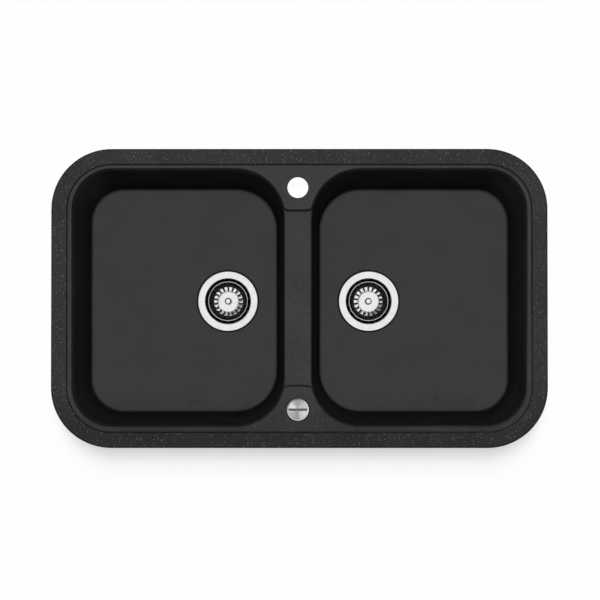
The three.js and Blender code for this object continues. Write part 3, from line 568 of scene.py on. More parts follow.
@dataclass(frozen=True)
class Station:
    """A place on a rounded rectangle: an angle on a corner's arc or a share of a straight edge."""

    index: int
    value: float
    on_arc: bool

    def order(self) -> float:
        """Where it comes on the outline."""
        return self.index * 2 + (self.value / 90 if self.on_arc else 1 + self.value)


@dataclass(frozen=True)
class RoundedBox:
    """A rectangle with its own radius at each corner. Corner 0 is at the low u and low y."""

    u0: float
    u1: float
    y0: float
    y1: float
    radii: tuple[float, float, float, float]

    def centre(self, corner: int) -> Point:
        """The middle of a corner's arc.

        Args:
            corner: The corner's number.

        Returns:
            The middle's u and y.
        """
        r = self.radii[corner]
        u = self.u0 + r if corner in (0, 3) else self.u1 - r
        return u, self.y0 + r if corner < 2 else self.y1 - r

    def on_arc(self, corner: int, angle: float, outset: float) -> Point:
        """A point on a corner's arc, or outside it.

        Args:
            corner: The corner's number.
            angle: The angle along its arc, in degrees.
            outset: How far outside the outline.

        Returns:
            The point's u and y.
        """
        u, y = self.centre(corner)
        turn = math.radians((180, 270, 0, 90)[corner] + angle)
        r = self.radii[corner] + outset
        return u + r * math.cos(turn), y + r * math.sin(turn)

    def point(self, station: Station, outset: float = 0.0) -> Point:
        """The point at a station.

        Args:
            station: The station.
            outset: How far outside the outline.

        Returns:
            The point's u and y.
        """
        if station.on_arc:
            return self.on_arc(station.index, station.value, outset)
        first = self.on_arc(station.index, 90, outset)
        last = self.on_arc((station.index + 1) % 4, 0, outset)
        return tuple(a + (b - a) * station.value for a, b in zip(first, last, strict=True))


def even_stations(arc_steps: int, edge_steps: int) -> list[Station]:
    """Stations all round.

    Args:
        arc_steps: Steps on each corner.
        edge_steps: Steps on each straight edge.

    Returns:
        The stations in order.
    """
    out: list[Station] = []
    for index in range(4):
        out += [Station(index, 90 * i / arc_steps, True) for i in range(arc_steps + 1)]
        out += [Station(index, i / edge_steps, False) for i in range(1, edge_steps)]
    return out


# ---------------------------------------------------------------- the moulding


@dataclass(frozen=True)
class SinkSizes:
    """Sizes of the moulding, in millimetres."""

    width: float = 830.0
    depth: float = 500.0
    corner: float = 101.0
    band_top: float = 9.0
    deck_top: float = 7.0
    deck_under: float = -3.0
    edge: float = 2.8
    under_edge: float = 0.8
    seat: float = 14.0
    groove_inset: float = 2.7
    groove_width: float = 4.6
    groove_depth: float = 1.4
    centre_x: float = -2.5
    side_margin: float = 35.0
    back: float = 216.5
    front: float = -214.0
    divider: float = 43.9
    outer_corner: float = 67.0
    outer_taper: float = 9.0
    inner_corner: float = 83.0
    inner_taper: float = 11.0
    side_draft: float = 8.7
    end_draft: float = 14.0
    foot_outer: float = 16.0
    foot_inner: float = 14.4
    foot_back: float = 20.6
    foot_front: float = 20.4
    mouth: float = 3.5
    fillet: float = 8.0
    fillet_outside: float = 15.0
    floor: float = -193.0
    floor_edge: float = -190.0
    floor_under: float = -202.0
    flat: float = 60.0
    recess: float = 53.6
    recess_depth: float = 2.6
    drain_hole: float = 45.0
    waste_u: float = 123.0
    wall: float = 8.0
    divider_top: float = -5.0
    divider_under: float = -14.0
    back_step: float = 148.3
    front_step: float = -147.4
    step_sharpness: float = 1.8
    step_lead: float = 1.4
    step_curl: float = 2.8
    web_past_step: float = 8.0
    tap_hole: float = 17.5
    tap_y: float = 185.6
    knob_hole: float = 14.0
    knob_y: float = -185.7
    hole_edge: float = 0.8
    boss: float = 6.0
    boss_end: float = -16.0
    boss_hole: float = 2.7
    boss_hole_top: float = -4.5

    def drain(self, side: int) -> Point:
        """The middle of a bowl's waste, in metres."""
        return (self.centre_x + side * self.waste_u) * MM, 0.0

    def knob(self) -> Point:
        """The knob's axis, in metres."""
        return self.centre_x * MM, self.knob_y * MM

    def past_step(self, y: float) -> float:
        """How far a place lies past the divider's nearer step, towards a platform."""
        return max(y - self.back_step, self.front_step - y)


class BowlSkin:
    """One bowl's skin, from the deck's edge down to the waste and up again outside."""

    near_step = (-7.0, -5.5, -4.4, -3.6)
    fine_from, fine_to, fine_step = -3.0, 7.0, 0.25
    clear_of_fine = 1.5
    curl_from, curl_to = 14.0, 22.0
    step_from, step_to = -4.5, 3.0
    web_end_half = 0.3
    support = 1.2
    arc_steps = 24
    edge_steps = 10
    wall_shares = (0.03, 0.1, 0.22, 0.4, 0.6, 0.8, 0.93)
    dish_shares = (0.08, 0.2, 0.35, 0.5, 0.65, 0.8, 0.92)
    outside_shares = (0.4, 0.8, 0.95)
    # what the recess' rounded mouth adds to its radius, and how far below the floor
    recess_mouth = ((0.8, 0.0), (0.25, 0.15), (0.0, 0.6))

    def __init__(self, sizes: SinkSizes, side: int) -> None:
        """Set out one bowl.

        Args:
            sizes: The moulding's sizes.
            side: -1 for the left-hand bowl, 1 for the right-hand one.
        """
        self.sizes = sizes
        self.side = side
        self.divider_side = sizes.divider / 2 + sizes.inner_corner / 4
        self.stations = self.all_stations()

    def section(self, z: float) -> RoundedBox:
        """The bowl's inside at a height.

        Args:
            z: The height.

        Returns:
            The section.
        """
        s = self.sizes
        share = (s.deck_top - z) / (s.deck_top - s.floor_edge)
        inner = s.inner_corner - s.inner_taper * share
        outer = s.outer_corner - s.outer_taper * share
        return RoundedBox(
            s.divider / 2 + s.side_draft * share,
            s.width / 2 - s.side_margin - self.side * s.centre_x - s.side_draft * share,
            s.front + s.end_draft * share,
            s.back - s.end_draft * share,
            (inner, outer, outer, inner),
        )

    def all_stations(self) -> list[Station]:
        """Stations all round, close together at the divider's steps.

        Returns:
            The stations in order.
        """
        s = self.sizes
        count = round((self.fine_to - self.fine_from) / self.fine_step)
        fine = [self.fine_from + self.fine_step * i for i in range(count + 1)]
        ends = [s.web_past_step - self.web_end_half, s.web_past_step + self.web_end_half]
        runs = [*self.near_step, *fine, *ends]
        ys = [s.back_step + r for r in runs] + [s.front_step - r for r in runs]
        opening = self.section(s.deck_top)
        stations = [self.divider_station(opening, y) for y in ys]
        for station in even_stations(self.arc_steps, self.edge_steps):
            u, y = opening.point(station)
            if u >= self.divider_side or all(abs(y - other) >= self.clear_of_fine for other in ys):
                stations.append(station)
        return sorted(stations, key=Station.order)

    @staticmethod
    def divider_station(opening: RoundedBox, y: float) -> Station:
        """The station on the divider's side that has a given y.

        Args:
            opening: The bowl's opening.
            y: The place.

        Returns:
            The station.
        """
        for corner, away in ((3, 1), (0, -1)):
            centre = opening.centre(corner)[1]
            if away * (y - centre) > 0:
                angle = math.degrees(math.asin(abs(y - centre) / opening.radii[corner]))
                return Station(corner, 90 - angle if corner == 3 else angle, True)
        back, front = opening.centre(3)[1], opening.centre(0)[1]
        return Station(3, (back - y) / (back - front), False)

    def surface(self, u: float, y: float) -> float:
        """Height of the deck or of the divider's top.

        Args:
            u: The distance from the divider's middle.
            y: The place along the divider.

        Returns:
            The height.
        """
        s = self.sizes
        if u > self.divider_side:
            return s.deck_top
        along = (u - self.curl_from) / (self.curl_to - self.curl_from)
        run = s.past_step(y) - s.step_curl * min(1.0, max(0.0, along)) ** 2
        if run > self.step_to:
            return s.deck_top
        if run <= self.step_from:
            return s.divider_top
        share = 1 / (1 + math.exp(-s.step_sharpness * (run + s.step_lead)))
        return s.divider_top + (s.deck_top - s.divider_top) * share

    def world(self, u: float, y: float, z: float) -> Vector:
        """A point in metres."""
        return Vector((self.sizes.centre_x + self.side * u, y, z)) * MM

    def ring(self, outset: float, height: Callable[[Station, RoundedBox], float]) -> Ring:
        """A ring along the bowl's section.

        Args:
            outset: How far outside the section.
            height: Gives the ring's height at a station, from the bowl's opening in the deck.

        Returns:
            The ring.
        """
        top = self.section(self.sizes.deck_top)
        out = []
        for station in self.stations:
            z = height(station, top)
            out.append(self.world(*self.section(z).point(station, outset), z))
        return out

    def lip_ring(self, drop: float, outset: float) -> Ring:
        """A ring that lies a little below the deck or the divider."""
        return self.ring(outset, lambda at, top: self.surface(*top.point(at, outset)) - drop)

    def under_ring(self) -> Ring:
        """Where the outside wall meets the underside of the deck or of the web.

        Returns:
            The ring.
        """
        s = self.sizes

        def underside(at: Station, top: RoundedBox) -> float:
            """The height of the underside beside a station.

            Args:
                at: The station.
                top: The bowl's opening.

            Returns:
                The height.
            """
            u, y = top.point(at)
            under_web = u < self.divider_side and s.past_step(y) < s.web_past_step
            return s.divider_under if under_web else s.deck_under

        return self.ring(s.wall, underside)

    def foot_ring(self, z: float, outset: float) -> Ring:
        """A ring round the foot of the walls, at one height.

        Args:
            z: The height.
            outset: How far outside the foot.

        Returns:
            The ring.
        """
        s = self.sizes
        top = self.section(s.deck_top)
        foot = RoundedBox(
            top.u0 + s.foot_inner,
            top.u1 - s.foot_outer,
            top.y0 + s.foot_front,
            top.y1 - s.foot_back,
            self.section(s.floor_edge).radii,
        )
        return [self.world(*foot.point(station, outset), z) for station in self.stations]

    @staticmethod
    def blend(first: Ring, last: Ring, shares: Iterable[float]) -> list[Ring]:
        """Rings between two rings."""
        return [[a.lerp(b, t) for a, b in zip(first, last, strict=True)] for t in shares]

    def drain_ring(self, around: Ring, radius: float, z: float) -> Ring:
        """A circle round the waste, each point in the direction of a ring's point.

        Args:
            around: The ring.
            radius: The circle's radius.
            z: Its height.

        Returns:
            The circle.
        """
        middle = Vector((*self.sizes.drain(self.side), 0.0))
        ways = [(Vector((point.x, point.y, 0)) - middle).normalized() for point in around]
        return [middle + way * radius * MM + Vector((0, 0, z * MM)) for way in ways]

    def inside(self) -> list[Ring]:
        """Rings from the deck down to the edge of the flat floor.

        Returns:
            The rings in order.
        """
        s = self.sizes
        rings = [self.lip_ring(0, s.mouth + self.support)]
        rings += [self.lip_ring(s.mouth * down, s.mouth * out) for down, out in quarter(90, 0, 9)]
        fillet = [self.foot_ring(s.floor_edge + s.fillet * up, -s.fillet * inward)
                  for up, inward in quarter(0, 90, 9)]
        flat = self.drain_ring(fillet[-1], s.flat, s.floor)
        dish = self.blend(fillet[-1], flat, self.dish_shares)
        for ring, share in zip(dish, self.dish_shares, strict=True):
            eased = share - math.sin(2 * math.pi * share) / (2 * math.pi)
            for point in ring:
                point.z = (s.floor_edge + (s.floor - s.floor_edge) * eased) * MM
        return [*rings, *self.blend(rings[-1], fillet[0], self.wall_shares), *fillet, *dish, flat]

    def drain_rings(self, flat: Ring) -> list[Ring]:
        """Rings of the recess and of the hole for the waste.

        Args:
            flat: The ring round the flat floor.

        Returns:
            The rings in order.
        """
        s = self.sizes
        seat = s.floor - s.recess_depth
        steps = [(s.recess + more, s.floor - below) for more, below in self.recess_mouth]
        steps += [(s.recess, seat), (s.drain_hole, seat), (s.drain_hole, s.floor_under),
                  (s.flat, s.floor_under)]
        return [self.drain_ring(flat, radius, z) for radius, z in steps]

    def outside(self) -> list[Ring]:
        """Rings from the underside of the floor up to the underside of the deck.

        Returns:
            The rings in order.
        """
        s = self.sizes
        radius = s.fillet_outside + s.wall
        rings = []
        for up, inward in quarter(90, 0, 6):
            z = s.floor_under + radius * up
            rings.append(self.ring(s.wall - radius * inward, lambda at, top, z=z: z))
        top = self.under_ring()
        return [*rings, *self.blend(rings[-1], top, self.outside_shares), top]

    def build(self) -> Object:
        """The bowl's skin, open where it meets the deck above and below."""
        inside = self.inside()
        return pulled("bowl_skin", [*inside, *self.drain_rings(inside[-1]), *self.outside()])


@dataclass(frozen=True)
class ClawSeat:
    """Where a claw stands: its screw and the way out to the rim's edge."""

    x: float
    y: float
    degrees: float

    def matrix(self) -> Matrix:
        """The seat's place in metres."""
        place = Matrix.Translation((self.x * MM, self.y * MM, 0))
        return place @ Matrix.Rotation(math.radians(self.degrees), 4, "Z")


CLAW_SEATS = [
    *(ClawSeat(x, side * 231.0, side * 90) for side in (1, -1) for x in (-250.0, -2.5, 250.0)),
    ClawSeat(396.0, 0.0, 0),
    ClawSeat(-396.0, 0.0, 180),
]


class SinkBody:
    """The moulding: rim, deck, two bowls, lowered divider and holes."""

    hole_points = 72
    rim_arc_steps = 32
    divider_cuts = 10
    support = 1.0
    # inset and height of the groove and the rounded edge between the deck and the band
    band_step = (
        (28.2, 7.0), (27.8, 6.98), (27.4, 6.8), (27.15, 6.3), (26.9, 5.2), (26.65, 4.1), (26.4, 3.4),
        (26.1, 3.3), (25.9, 3.9), (25.7, 5.5), (25.5, 7.3), (25.3, 8.3), (25.0, 8.75), (24.5, 8.95),
        (24.0, 9.0),
    )

    def __init__(self, sizes: SinkSizes) -> None:
        """Set out the moulding."""
        self.sizes = sizes

    def rim_ring(self, inset: float, z: float) -> Ring:
        """A ring at a distance from the rim's outline.

        Args:
            inset: How far inside the outline.
            z: Its height.

        Returns:
            The ring.
        """
        s = self.sizes
        half_x, half_y = s.width / 2 - inset, s.depth / 2 - inset
        box = RoundedBox(-half_x, half_x, -half_y, half_y, (s.corner - inset,) * 4)
        stations = even_stations(self.rim_arc_steps, 1)
        return [Vector((*box.point(station), z)) * MM for station in stations]

    def rim_skin(self) -> Object:
        """The band, its slope, its edge and the seat with the seal's groove.

        Returns:
            The skin.
        """
        s = self.sizes
        inner = s.groove_inset + s.groove_width
        steps = [
            *self.band_step,
            (s.edge + 1.2, s.band_top),
            *((s.edge * inward, s.band_top - s.edge * down) for down, inward in quarter(90, 0, 8)),
            (0, s.under_edge), (s.under_edge, 0),
            (s.groove_inset, 0), (s.groove_inset, s.groove_depth), (inner, s.groove_depth), (inner, 0),
            (s.seat, 0), (s.seat, s.deck_under),
        ]
        return pulled("rim_skin", [self.rim_ring(inset, z) for inset, z in steps])

    def hole_skin(self, radius: float, y: float) -> Object:
        """The wall of a round hole through the deck, with a rounded top edge.

        Args:
            radius: The hole's radius.
            y: The place of its middle.

        Returns:
            The skin.
        """
        s = self.sizes
        steps = [(radius + s.hole_edge + self.support, s.deck_top)]
        steps += [(radius + s.hole_edge * out, s.deck_top - s.hole_edge * down)
                  for down, out in quarter(90, 0, 4)]
        steps.append((radius, s.deck_under))
        turns = [2 * math.pi * i / self.hole_points for i in range(self.hole_points)]
        rings = [[Vector((s.centre_x * MM + r * MM * math.cos(t), y * MM + r * MM * math.sin(t), z * MM))
                  for t in turns] for r, z in steps]
        return pulled("hole_skin", rings)

    def on_chain(self, co: Vector, upper: bool) -> bool:
        """Whether a point of an open edge lies on the side of the divider or of its web.

        Args:
            co: The point, in metres.
            upper: True for the divider, False for the web under it.

        Returns:
            Whether it does.
        """
        s = self.sizes
        past = s.web_past_step + BowlSkin.web_end_half + (0.0 if upper else 0.35 * s.wall)
        x, y, z = co / MM
        if abs(x - s.centre_x) > s.divider or not s.front_step - past < y < s.back_step + past:
            return False
        return z > s.divider_top - 1 if upper else z < s.deck_under + 0.001

    def close(self, obj: Object) -> None:
        """Bridge the divider and the web, then fill the deck's two faces.

        Args:
            obj: The joined skins.
        """
        def select_open(wanted: Callable[[Vector], bool]) -> None:
            """Select the open edges whose two ends pass a rule."""
            select_edges(obj, lambda edge: edge.is_boundary and all(wanted(v.co) for v in edge.verts))

        for upper, cuts in ((True, self.divider_cuts), (False, 0)):
            select_open(lambda co, upper=upper: self.on_chain(co, upper))
            bpy.ops.mesh.bridge_edge_loops(number_cuts=cuts, interpolation="LINEAR")
            finish_edit()
        self.curl_steps(obj)
        for height in (self.sizes.deck_top, self.sizes.deck_under):
            select_open(lambda co, height=height: abs(co.z - height * MM) < 1e-6)
            bpy.ops.mesh.fill(use_beauty=True)
            finish_edit()

    def curl_steps(self, obj: Object) -> None:
        """Give the divider's top its height between its two sides, where the steps' ends curl.

        Args:
            obj: The joined skins.
        """
        s = self.sizes
        skin = BowlSkin(s, 1)
        middle = s.divider / 2 - s.mouth - skin.support - 0.01
        for vert in obj.data.vertices:
            x, y, _ = vert.co / MM
            u = abs(x - s.centre_x)
            if u < middle and self.on_chain(vert.co, True):
                vert.co.z = skin.surface(u, y) * MM

    def boss(self) -> Object:
        """A boss for a claw's screw, with its root towards the bowl. It stands at the origin.

        Returns:
            The boss.
        """
        s = self.sizes
        root, end = -s.boss - s.wall / 2, s.boss_end - 2
        outline = [(root, -s.boss), *arc(s.boss, -90, 90, 16), (root, s.boss)]
        flat = [(x * MM, y * MM) for x, y in outline]
        body = flat_piece("boss", flat, s.boss_end * MM, (s.deck_under + 0.5) * MM)
        hole = [(0, end), (s.boss_hole, end), (s.boss_hole, s.boss_hole_top), (0, s.boss_hole_top)]
        return cut_away(body, turned("hole", hole, ON_AXIS, 24))

    def build(self, finishes: "Finishes") -> None:
        """Make the moulding.

        Args:
            finishes: The materials.
        """
        s = self.sizes
        holes = ((s.tap_hole, s.tap_y), (s.knob_hole, s.knob_y))
        skins = [self.rim_skin(), *(self.hole_skin(*hole) for hole in holes)]
        skins += [BowlSkin(s, side).build() for side in (-1, 1)]
        body = joined("sink_moulding", *skins)
        self.close(body)
        make_solid(body, 1e-7)
        boss = self.boss()
        bosses = [copy_of(boss, f"boss_{i}", seat.matrix()) for i, seat in enumerate(CLAW_SEATS)]
        discard(boss)
        body = smooth(joined("sink_moulding", body, *bosses), 34)
        put_in_place(body, body.name, finishes[Slot.GRANITE], Slot.GRANITE, "sink", "sink_body")


class RimSeal:
    """The foam strip in the groove under the rim."""

    inset = 3.0
    width = 4.0
    thickness = 1.2
    edge = 0.3

    def build(self, finishes: "Finishes", sink: SinkBody) -> None:
        """Make the strip.

        Args:
            finishes: The materials.
            sink: The moulding, whose outline it follows.
        """
        outer, inner, e, top = self.inset, self.inset + self.width, self.edge, self.thickness
        steps = [
            (outer, e), (outer, top - e), (outer + e, top), (inner - e, top),
            (inner, top - e), (inner, e), (inner - e, 0), (outer + e, 0), (outer, e),
        ]
        strip = make_solid(pulled("rim_seal_strip", [sink.rim_ring(i, z) for i, z in steps]))
        put_in_place(smooth(strip, 50), strip.name, finishes[Slot.FOAM], Slot.FOAM, "sink", "rim_seal")


# ---------------------------------------------------------------- wastes


@dataclass(frozen=True)
class WasteSizes:
    """Sizes of a waste, in millimetres. Heights are measured from the flange's top."""

    flange: float = 52.9
    cup: float = 39.0
    cup_floor: float = -35.0
    sheet: float = 1.2
    spokes: int = 6
    spoke_width: float = 4.5
    drain_inner: float = 10.5
    drain_outer: float = 25.0
    basket_rim: float = 34.0
    rim_height: float = -5.0
    bead: float = 0.9
    slots: int = 18
    slot_width: float = 3.2
    slot_inner: float = 18.6
    slot_outer: float = 31.0
    petal: float = 0.3
    petal_from: float = 18.0
    petal_to: float = 33.0
    petal_ease: float = 4.0
    body_inside: float = 41.2
    body_outside: float = 43.7
    body_flange: float = 52.0
    funnel_top: float = -41.0
    funnel_end: float = -55.5
    outlet_bore: float = 20.5
    outlet_outside: float = 23.9
    outlet_end: float = -95.0
    arms: int = 4
    gussets: int = 12
    gusset_foot: float = -26.0
    gusset_top: float = -14.0


WASTE = WasteSizes()
FLANGE_CUP: Profile = [
    (5.2, WASTE.cup_floor), (28.5, WASTE.cup_floor), (36.6, WASTE.cup_floor + 2.2), (WASTE.cup, -2.2),
    (WASTE.cup + 0.9, -0.1), (51.8, 0.0), (WASTE.flange, -1.0), (52.2, -1.3), (WASTE.cup + 2.6, -1.32),
    (WASTE.cup + 1.2, -3.2), (37.8, WASTE.cup_floor + 1.6), (29.0, WASTE.cup_floor - WASTE.sheet),
    (5.2, WASTE.cup_floor - WASTE.sheet),
]
BASKET_INSIDE: Profile = [
    (3.0, -22.8), (4.0, -22.8), (16.0, -22.8), (16.8, -22.82), (17.4, -23.0), (17.7, -24.0),
    (18.2, -24.4), (18.6, -23.9), (19.2, -23.65), (21.2, -23.35), (23.6, -22.97), (25.2, -22.6),
    (26.8, -21.9), (28.4, -20.4), (29.8, -18.2), (31.0, -15.0), (32.3, -9.0), (33.0, -5.6),
]
BASKET_OUTSIDE: Profile = [
    (33.2, -9.0), (31.9, -15.4), (30.7, -18.9), (29.1, -21.3), (27.3, -22.9), (25.4, -23.7),
    (21.2, -24.2), (18.9, -25.2), (17.5, -25.3), (16.7, -24.2), (16.0, -23.8), (3.0, -23.8),
]
BASKET_POST: Profile = [
    (0, -43.2), (2.7, -43.2), (2.7, -22.6), (4.9, -22.6), (4.7, -22.0), (3.5, -21.0), (3.4, -15.0),
    (5.2, -13.8), (6.2, -11.8), (6.1, -10.2), (5.3, -8.4), (4.4, -7.3), (3.8, -7.0), (0, -7.0),
]
STOPPER: Profile = [
    (3.0, -28.8), (11.0, -28.8), (23.9, -31.2), (29.5, -33.4), (31.5, -32.0), (24.6, -28.8),
    (8.8, -26.64), (7.0, -24.0), (3.0, -24.0),
]
CENTRE_SCREW: Profile = [
    (3.0, -52.0), (4.5, -52.0), *threads(4.9, 0.45, -51.4, -38.0, 1.25), (4.9, -34.8),
    (8.5, -34.8), (8.5, -31.8), (8.0, -31.3), (3.0, -31.3),
]
LIFT_PIN: Profile = [(0, -64.2), (2.6, -64.2), (2.6, -43.5), (0, -43.5)]


class Waste:
    """One basket waste: flange and cup, basket with its stopper, screw and plastic body."""

    sizes = WASTE
    body_nodes: tuple[str, ...] = ("_body",)
    cup_rounding, cup_arc_steps, cup_turns = 3.4, 5, 144
    drain_arc_steps, drain_below, drain_above = 8, 4.0, 3.0
    slot_bottom, slot_below_rim = -30.0, 1.8
    turns_per_slot = 14
    socket_flats, socket_bottom, socket_top = 8.0, -33.7, -28.0

    def __init__(self, finishes: "Finishes", name: str, centre: Point, floor: float) -> None:
        """Set out a waste.

        Args:
            finishes: The materials.
            name: The first part of its nodes' names.
            centre: Its axis, in metres.
            floor: Height of the flange's top, in metres.
        """
        self.finishes = finishes
        self.name = name
        self.centre = centre
        self.floor = floor
        self.basket_body = name.replace("waste", "basket")

    def at(self, x: float, y: float) -> Point:
        """A point beside the axis, in metres."""
        return self.centre[0] + x * MM, self.centre[1] + y * MM

    def height(self, z: float) -> float:
        """A height in metres."""
        return self.floor + z * MM

    def turned(self, name: str, profile: Profile, steps: int = 96) -> Object:
        """A solid turned round the waste's axis."""
        return turned(name, profile, self.centre, steps, self.floor)

    def flat(self, name: str, outline: Profile, bottom: float, top: float) -> Object:
        """A flat piece whose heights are given in millimetres from the flange's top."""
        return flat_piece(name, outline, self.height(bottom), self.height(top))

    def box(self, name: str, low: tuple, high: tuple, edge: float = 0.0) -> Object:
        """A box given in millimetres from the flange's middle.

        Args:
            name: The piece's name.
            low: One corner.
            high: The opposite corner.
            edge: The rounding of its edges.

        Returns:
            The closed solid.
        """
        corners = [Vector((*self.at(p[0], p[1]), self.height(p[2]))) for p in (low, high)]
        return box_piece(name, Vector(map(min, *corners)), Vector(map(max, *corners)), edge * MM)

    def flange(self) -> None:
        """The steel flange and cup in one pressing, with a spoked floor."""
        profile = rounded(FLANGE_CUP, self.cup_rounding, self.cup_arc_steps)
        cup = self.turned("cup", profile, self.cup_turns)
        smooth(cut_away(cup, *(self.drain_cutter(i) for i in range(self.sizes.spokes))), 40)
        steel = self.finishes.shaded_drain_steel(self.centre, self.floor)
        put_in_place(cup, self.name + "_flange_cup", steel, Slot.POLISHED, "sink", self.name + "_flange")

    def drain_cutter(self, index: int) -> Object:
        """The cutter of one opening between two spokes.

        Args:
            index: The opening's number.

        Returns:
            The cutter.
        """
        s, steps = self.sizes, self.drain_arc_steps
        middle = math.radians(180 / s.spokes + 360 / s.spokes * index)
        outline = []
        for radius, way in ((s.drain_outer, 1), (s.drain_inner, -1)):
            half = math.pi / s.spokes - math.asin(s.spoke_width / 2 / radius)
            turns = [middle + way * half * (2 * i / steps - 1) for i in range(steps + 1)]
            outline += [self.at(radius * math.cos(t), radius * math.sin(t)) for t in turns]
        bottom, top = s.cup_floor - self.drain_below, s.cup_floor + self.drain_above
        return self.flat("drain", outline, bottom, top)

    def slot_cutter(self, degrees: float) -> Object:
        """The cutter of one slot, with a rounded outer end.

        Args:
            degrees: The slot's direction.

        Returns:
            The cutter.
        """
        s = self.sizes
        half = s.slot_width / 2
        end = arc(half, -90, 90, 8, (s.slot_outer - half, 0))
        outline = [(s.slot_inner, -half), *end, (s.slot_inner, half)]
        way = Matrix.Rotation(math.radians(degrees), 2)
        outline = [self.at(*(way @ Vector(p))) for p in outline]
        return self.flat("slot", outline, self.slot_bottom, s.rim_height - self.slot_below_rim)

    def basket(self) -> None:
        """The strainer basket, with domed petals between its slots."""
        s = self.sizes
        bead = arc(s.bead, 190, -35, 9, (s.basket_rim, s.rim_height))
        profile = [*BASKET_INSIDE, *bead, *BASKET_OUTSIDE]
        basket = self.turned("basket", profile, s.slots * self.turns_per_slot)
        for vert in basket.data.vertices:
            x, y = vert.co.x - self.centre[0], vert.co.y - self.centre[1]
            radius = math.hypot(x, y) / MM
            reach = min(1.0, max(0.0, (radius - s.petal_from) / s.petal_ease))
            reach *= min(1.0, max(0.0, (s.petal_to - radius) / s.petal_ease))
            vert.co.z -= s.petal * MM * reach * math.cos(s.slots * (math.atan2(y, x) - math.pi / 2))
        cutters = [self.slot_cutter(90 + 360 / s.slots * i) for i in range(s.slots)]
        smooth(cut_away(basket, *cutters), 40)
        steel, node = self.finishes.shaded_drain_steel(self.centre, self.floor), self.name + "_basket"
        put_in_place(basket, self.name + "_strainer", steel, Slot.POLISHED, self.basket_body, node)

    def small_parts(self) -> list[TurnedPart]:
        """The plain turned pieces.

        Returns:
            The pieces in order.
        """
        basket, name = self.basket_body, self.name
        return [
            TurnedPart(name + "_flange_gasket", Slot.RUBBER, ring_profile(45.5, 51.5, -2.4, -1.4), 0.25),
            TurnedPart(name + "_under_gasket", Slot.RUBBER, ring_profile(41.7, 51.5, -11.2, -9.2), 0.5),
            TurnedPart(name + "_basket_post", Slot.POLISHED, BASKET_POST, 0.8, 64, basket),
            TurnedPart(name + "_stopper", Slot.RUBBER, STOPPER, 0.6, 96, basket),
        ]

    def centre_screw(self) -> None:
        """The hollow cap screw that clamps the cup to the body."""
        screw = self.turned("screw", CENTRE_SCREW, 48)
        corners = hexagon(self.socket_flats, self.centre)
        socket = self.flat("socket", corners, self.socket_bottom, self.socket_top)
        smooth(cut_away(screw, socket), 30)
        steel, node = self.finishes.on_axis(Slot.BRUSHED, self.centre), self.name + "_centre_screw"
        put_in_place(screw, self.name + "_hollow_screw", steel, Slot.BRUSHED, "sink", node)

    def body_shell(self) -> Object:
        """The plastic body's cup, funnel and threaded outlet.

        Returns:
            The shell.
        """
        s = self.sizes
        wall = [(s.body_inside, -11.4), (s.body_flange, -11.4), (s.body_flange, -14.4),
                (s.body_outside, -14.4), (s.body_outside, s.funnel_top),
                (s.outlet_outside, s.funnel_end)]
        outlet = [(s.outlet_outside - 0.7, s.outlet_end), (s.outlet_bore, s.outlet_end),
                  (s.outlet_bore, s.funnel_end)]
        inside = [(s.body_inside - 2, s.funnel_top), (s.body_inside, -37.0)]
        thread = threads(s.outlet_outside, 1.0, -66.0, -92.4, 3.3)
        profile = [*rounded(wall, 1.0), *thread, *outlet, *inside]
        return self.turned(self.name + "_moulding", profile)

    def body_details(self) -> list[Object]:
        """The hub with its arms and the gussets under the flange.

        Returns:
            The pieces.
        """
        s = self.sizes
        hub = self.turned("hub", rounded(ring_profile(5.2, 9.5, -50.4, -36.4), 0.5), 48)
        arm = self.box("arm", (8.5, -1.6, -42.4), (40.2, 1.6, -36.4), 0.5)
        gusset = self.box("gusset", (s.body_outside - 0.6, -0.9, s.gusset_foot),
                          (s.body_flange - 1.5, 0.9, s.gusset_top), 0.25)
        for vert in gusset.data.vertices:
            if vert.co.z < self.height(s.gusset_foot + 1):
                vert.co.x = min(vert.co.x, self.centre[0] + (s.body_outside + 0.4) * MM)
        copies = [copy_of(pattern, name, self.turn_by(360 / count * (i + 0.5)))
                  for pattern, name, count in (
                      (arm, "arm_copy", s.arms), (gusset, "gusset_copy", s.gussets))
                  for i in range(count)]
        discard(arm, gusset)
        return [hub, *copies]

    def turn_by(self, degrees: float) -> Matrix:
        """A turn about the waste's axis."""
        place = Matrix.Translation((*self.centre, 0))
        return place @ Matrix.Rotation(math.radians(degrees), 4, "Z") @ place.inverted()

    def body(self) -> None:
        """The plastic body."""
        whole = joined(self.name + "_plastic_body", self.shell_with_openings(), *self.body_details())
        nodes = [self.name + node for node in self.body_nodes]
        white = self.finishes[Slot.WHITE]
        put_in_place(smooth(whole, 35), whole.name, white, Slot.WHITE, "sink", *nodes)

    def shell_with_openings(self) -> Object:
        """The body's shell. The plain waste has no further opening."""
        return self.body_shell()

    def build(self) -> None:
        """Make the whole waste."""
        self.flange()
        self.basket()
        self.centre_screw()
        self.body()
        for part in self.small_parts():
            part.build(self.finishes, self.centre, self.floor)
        dress(self.name + "_stopper_nut", self.finishes.on_axis(Slot.BRUSHED, self.centre), 0.3)


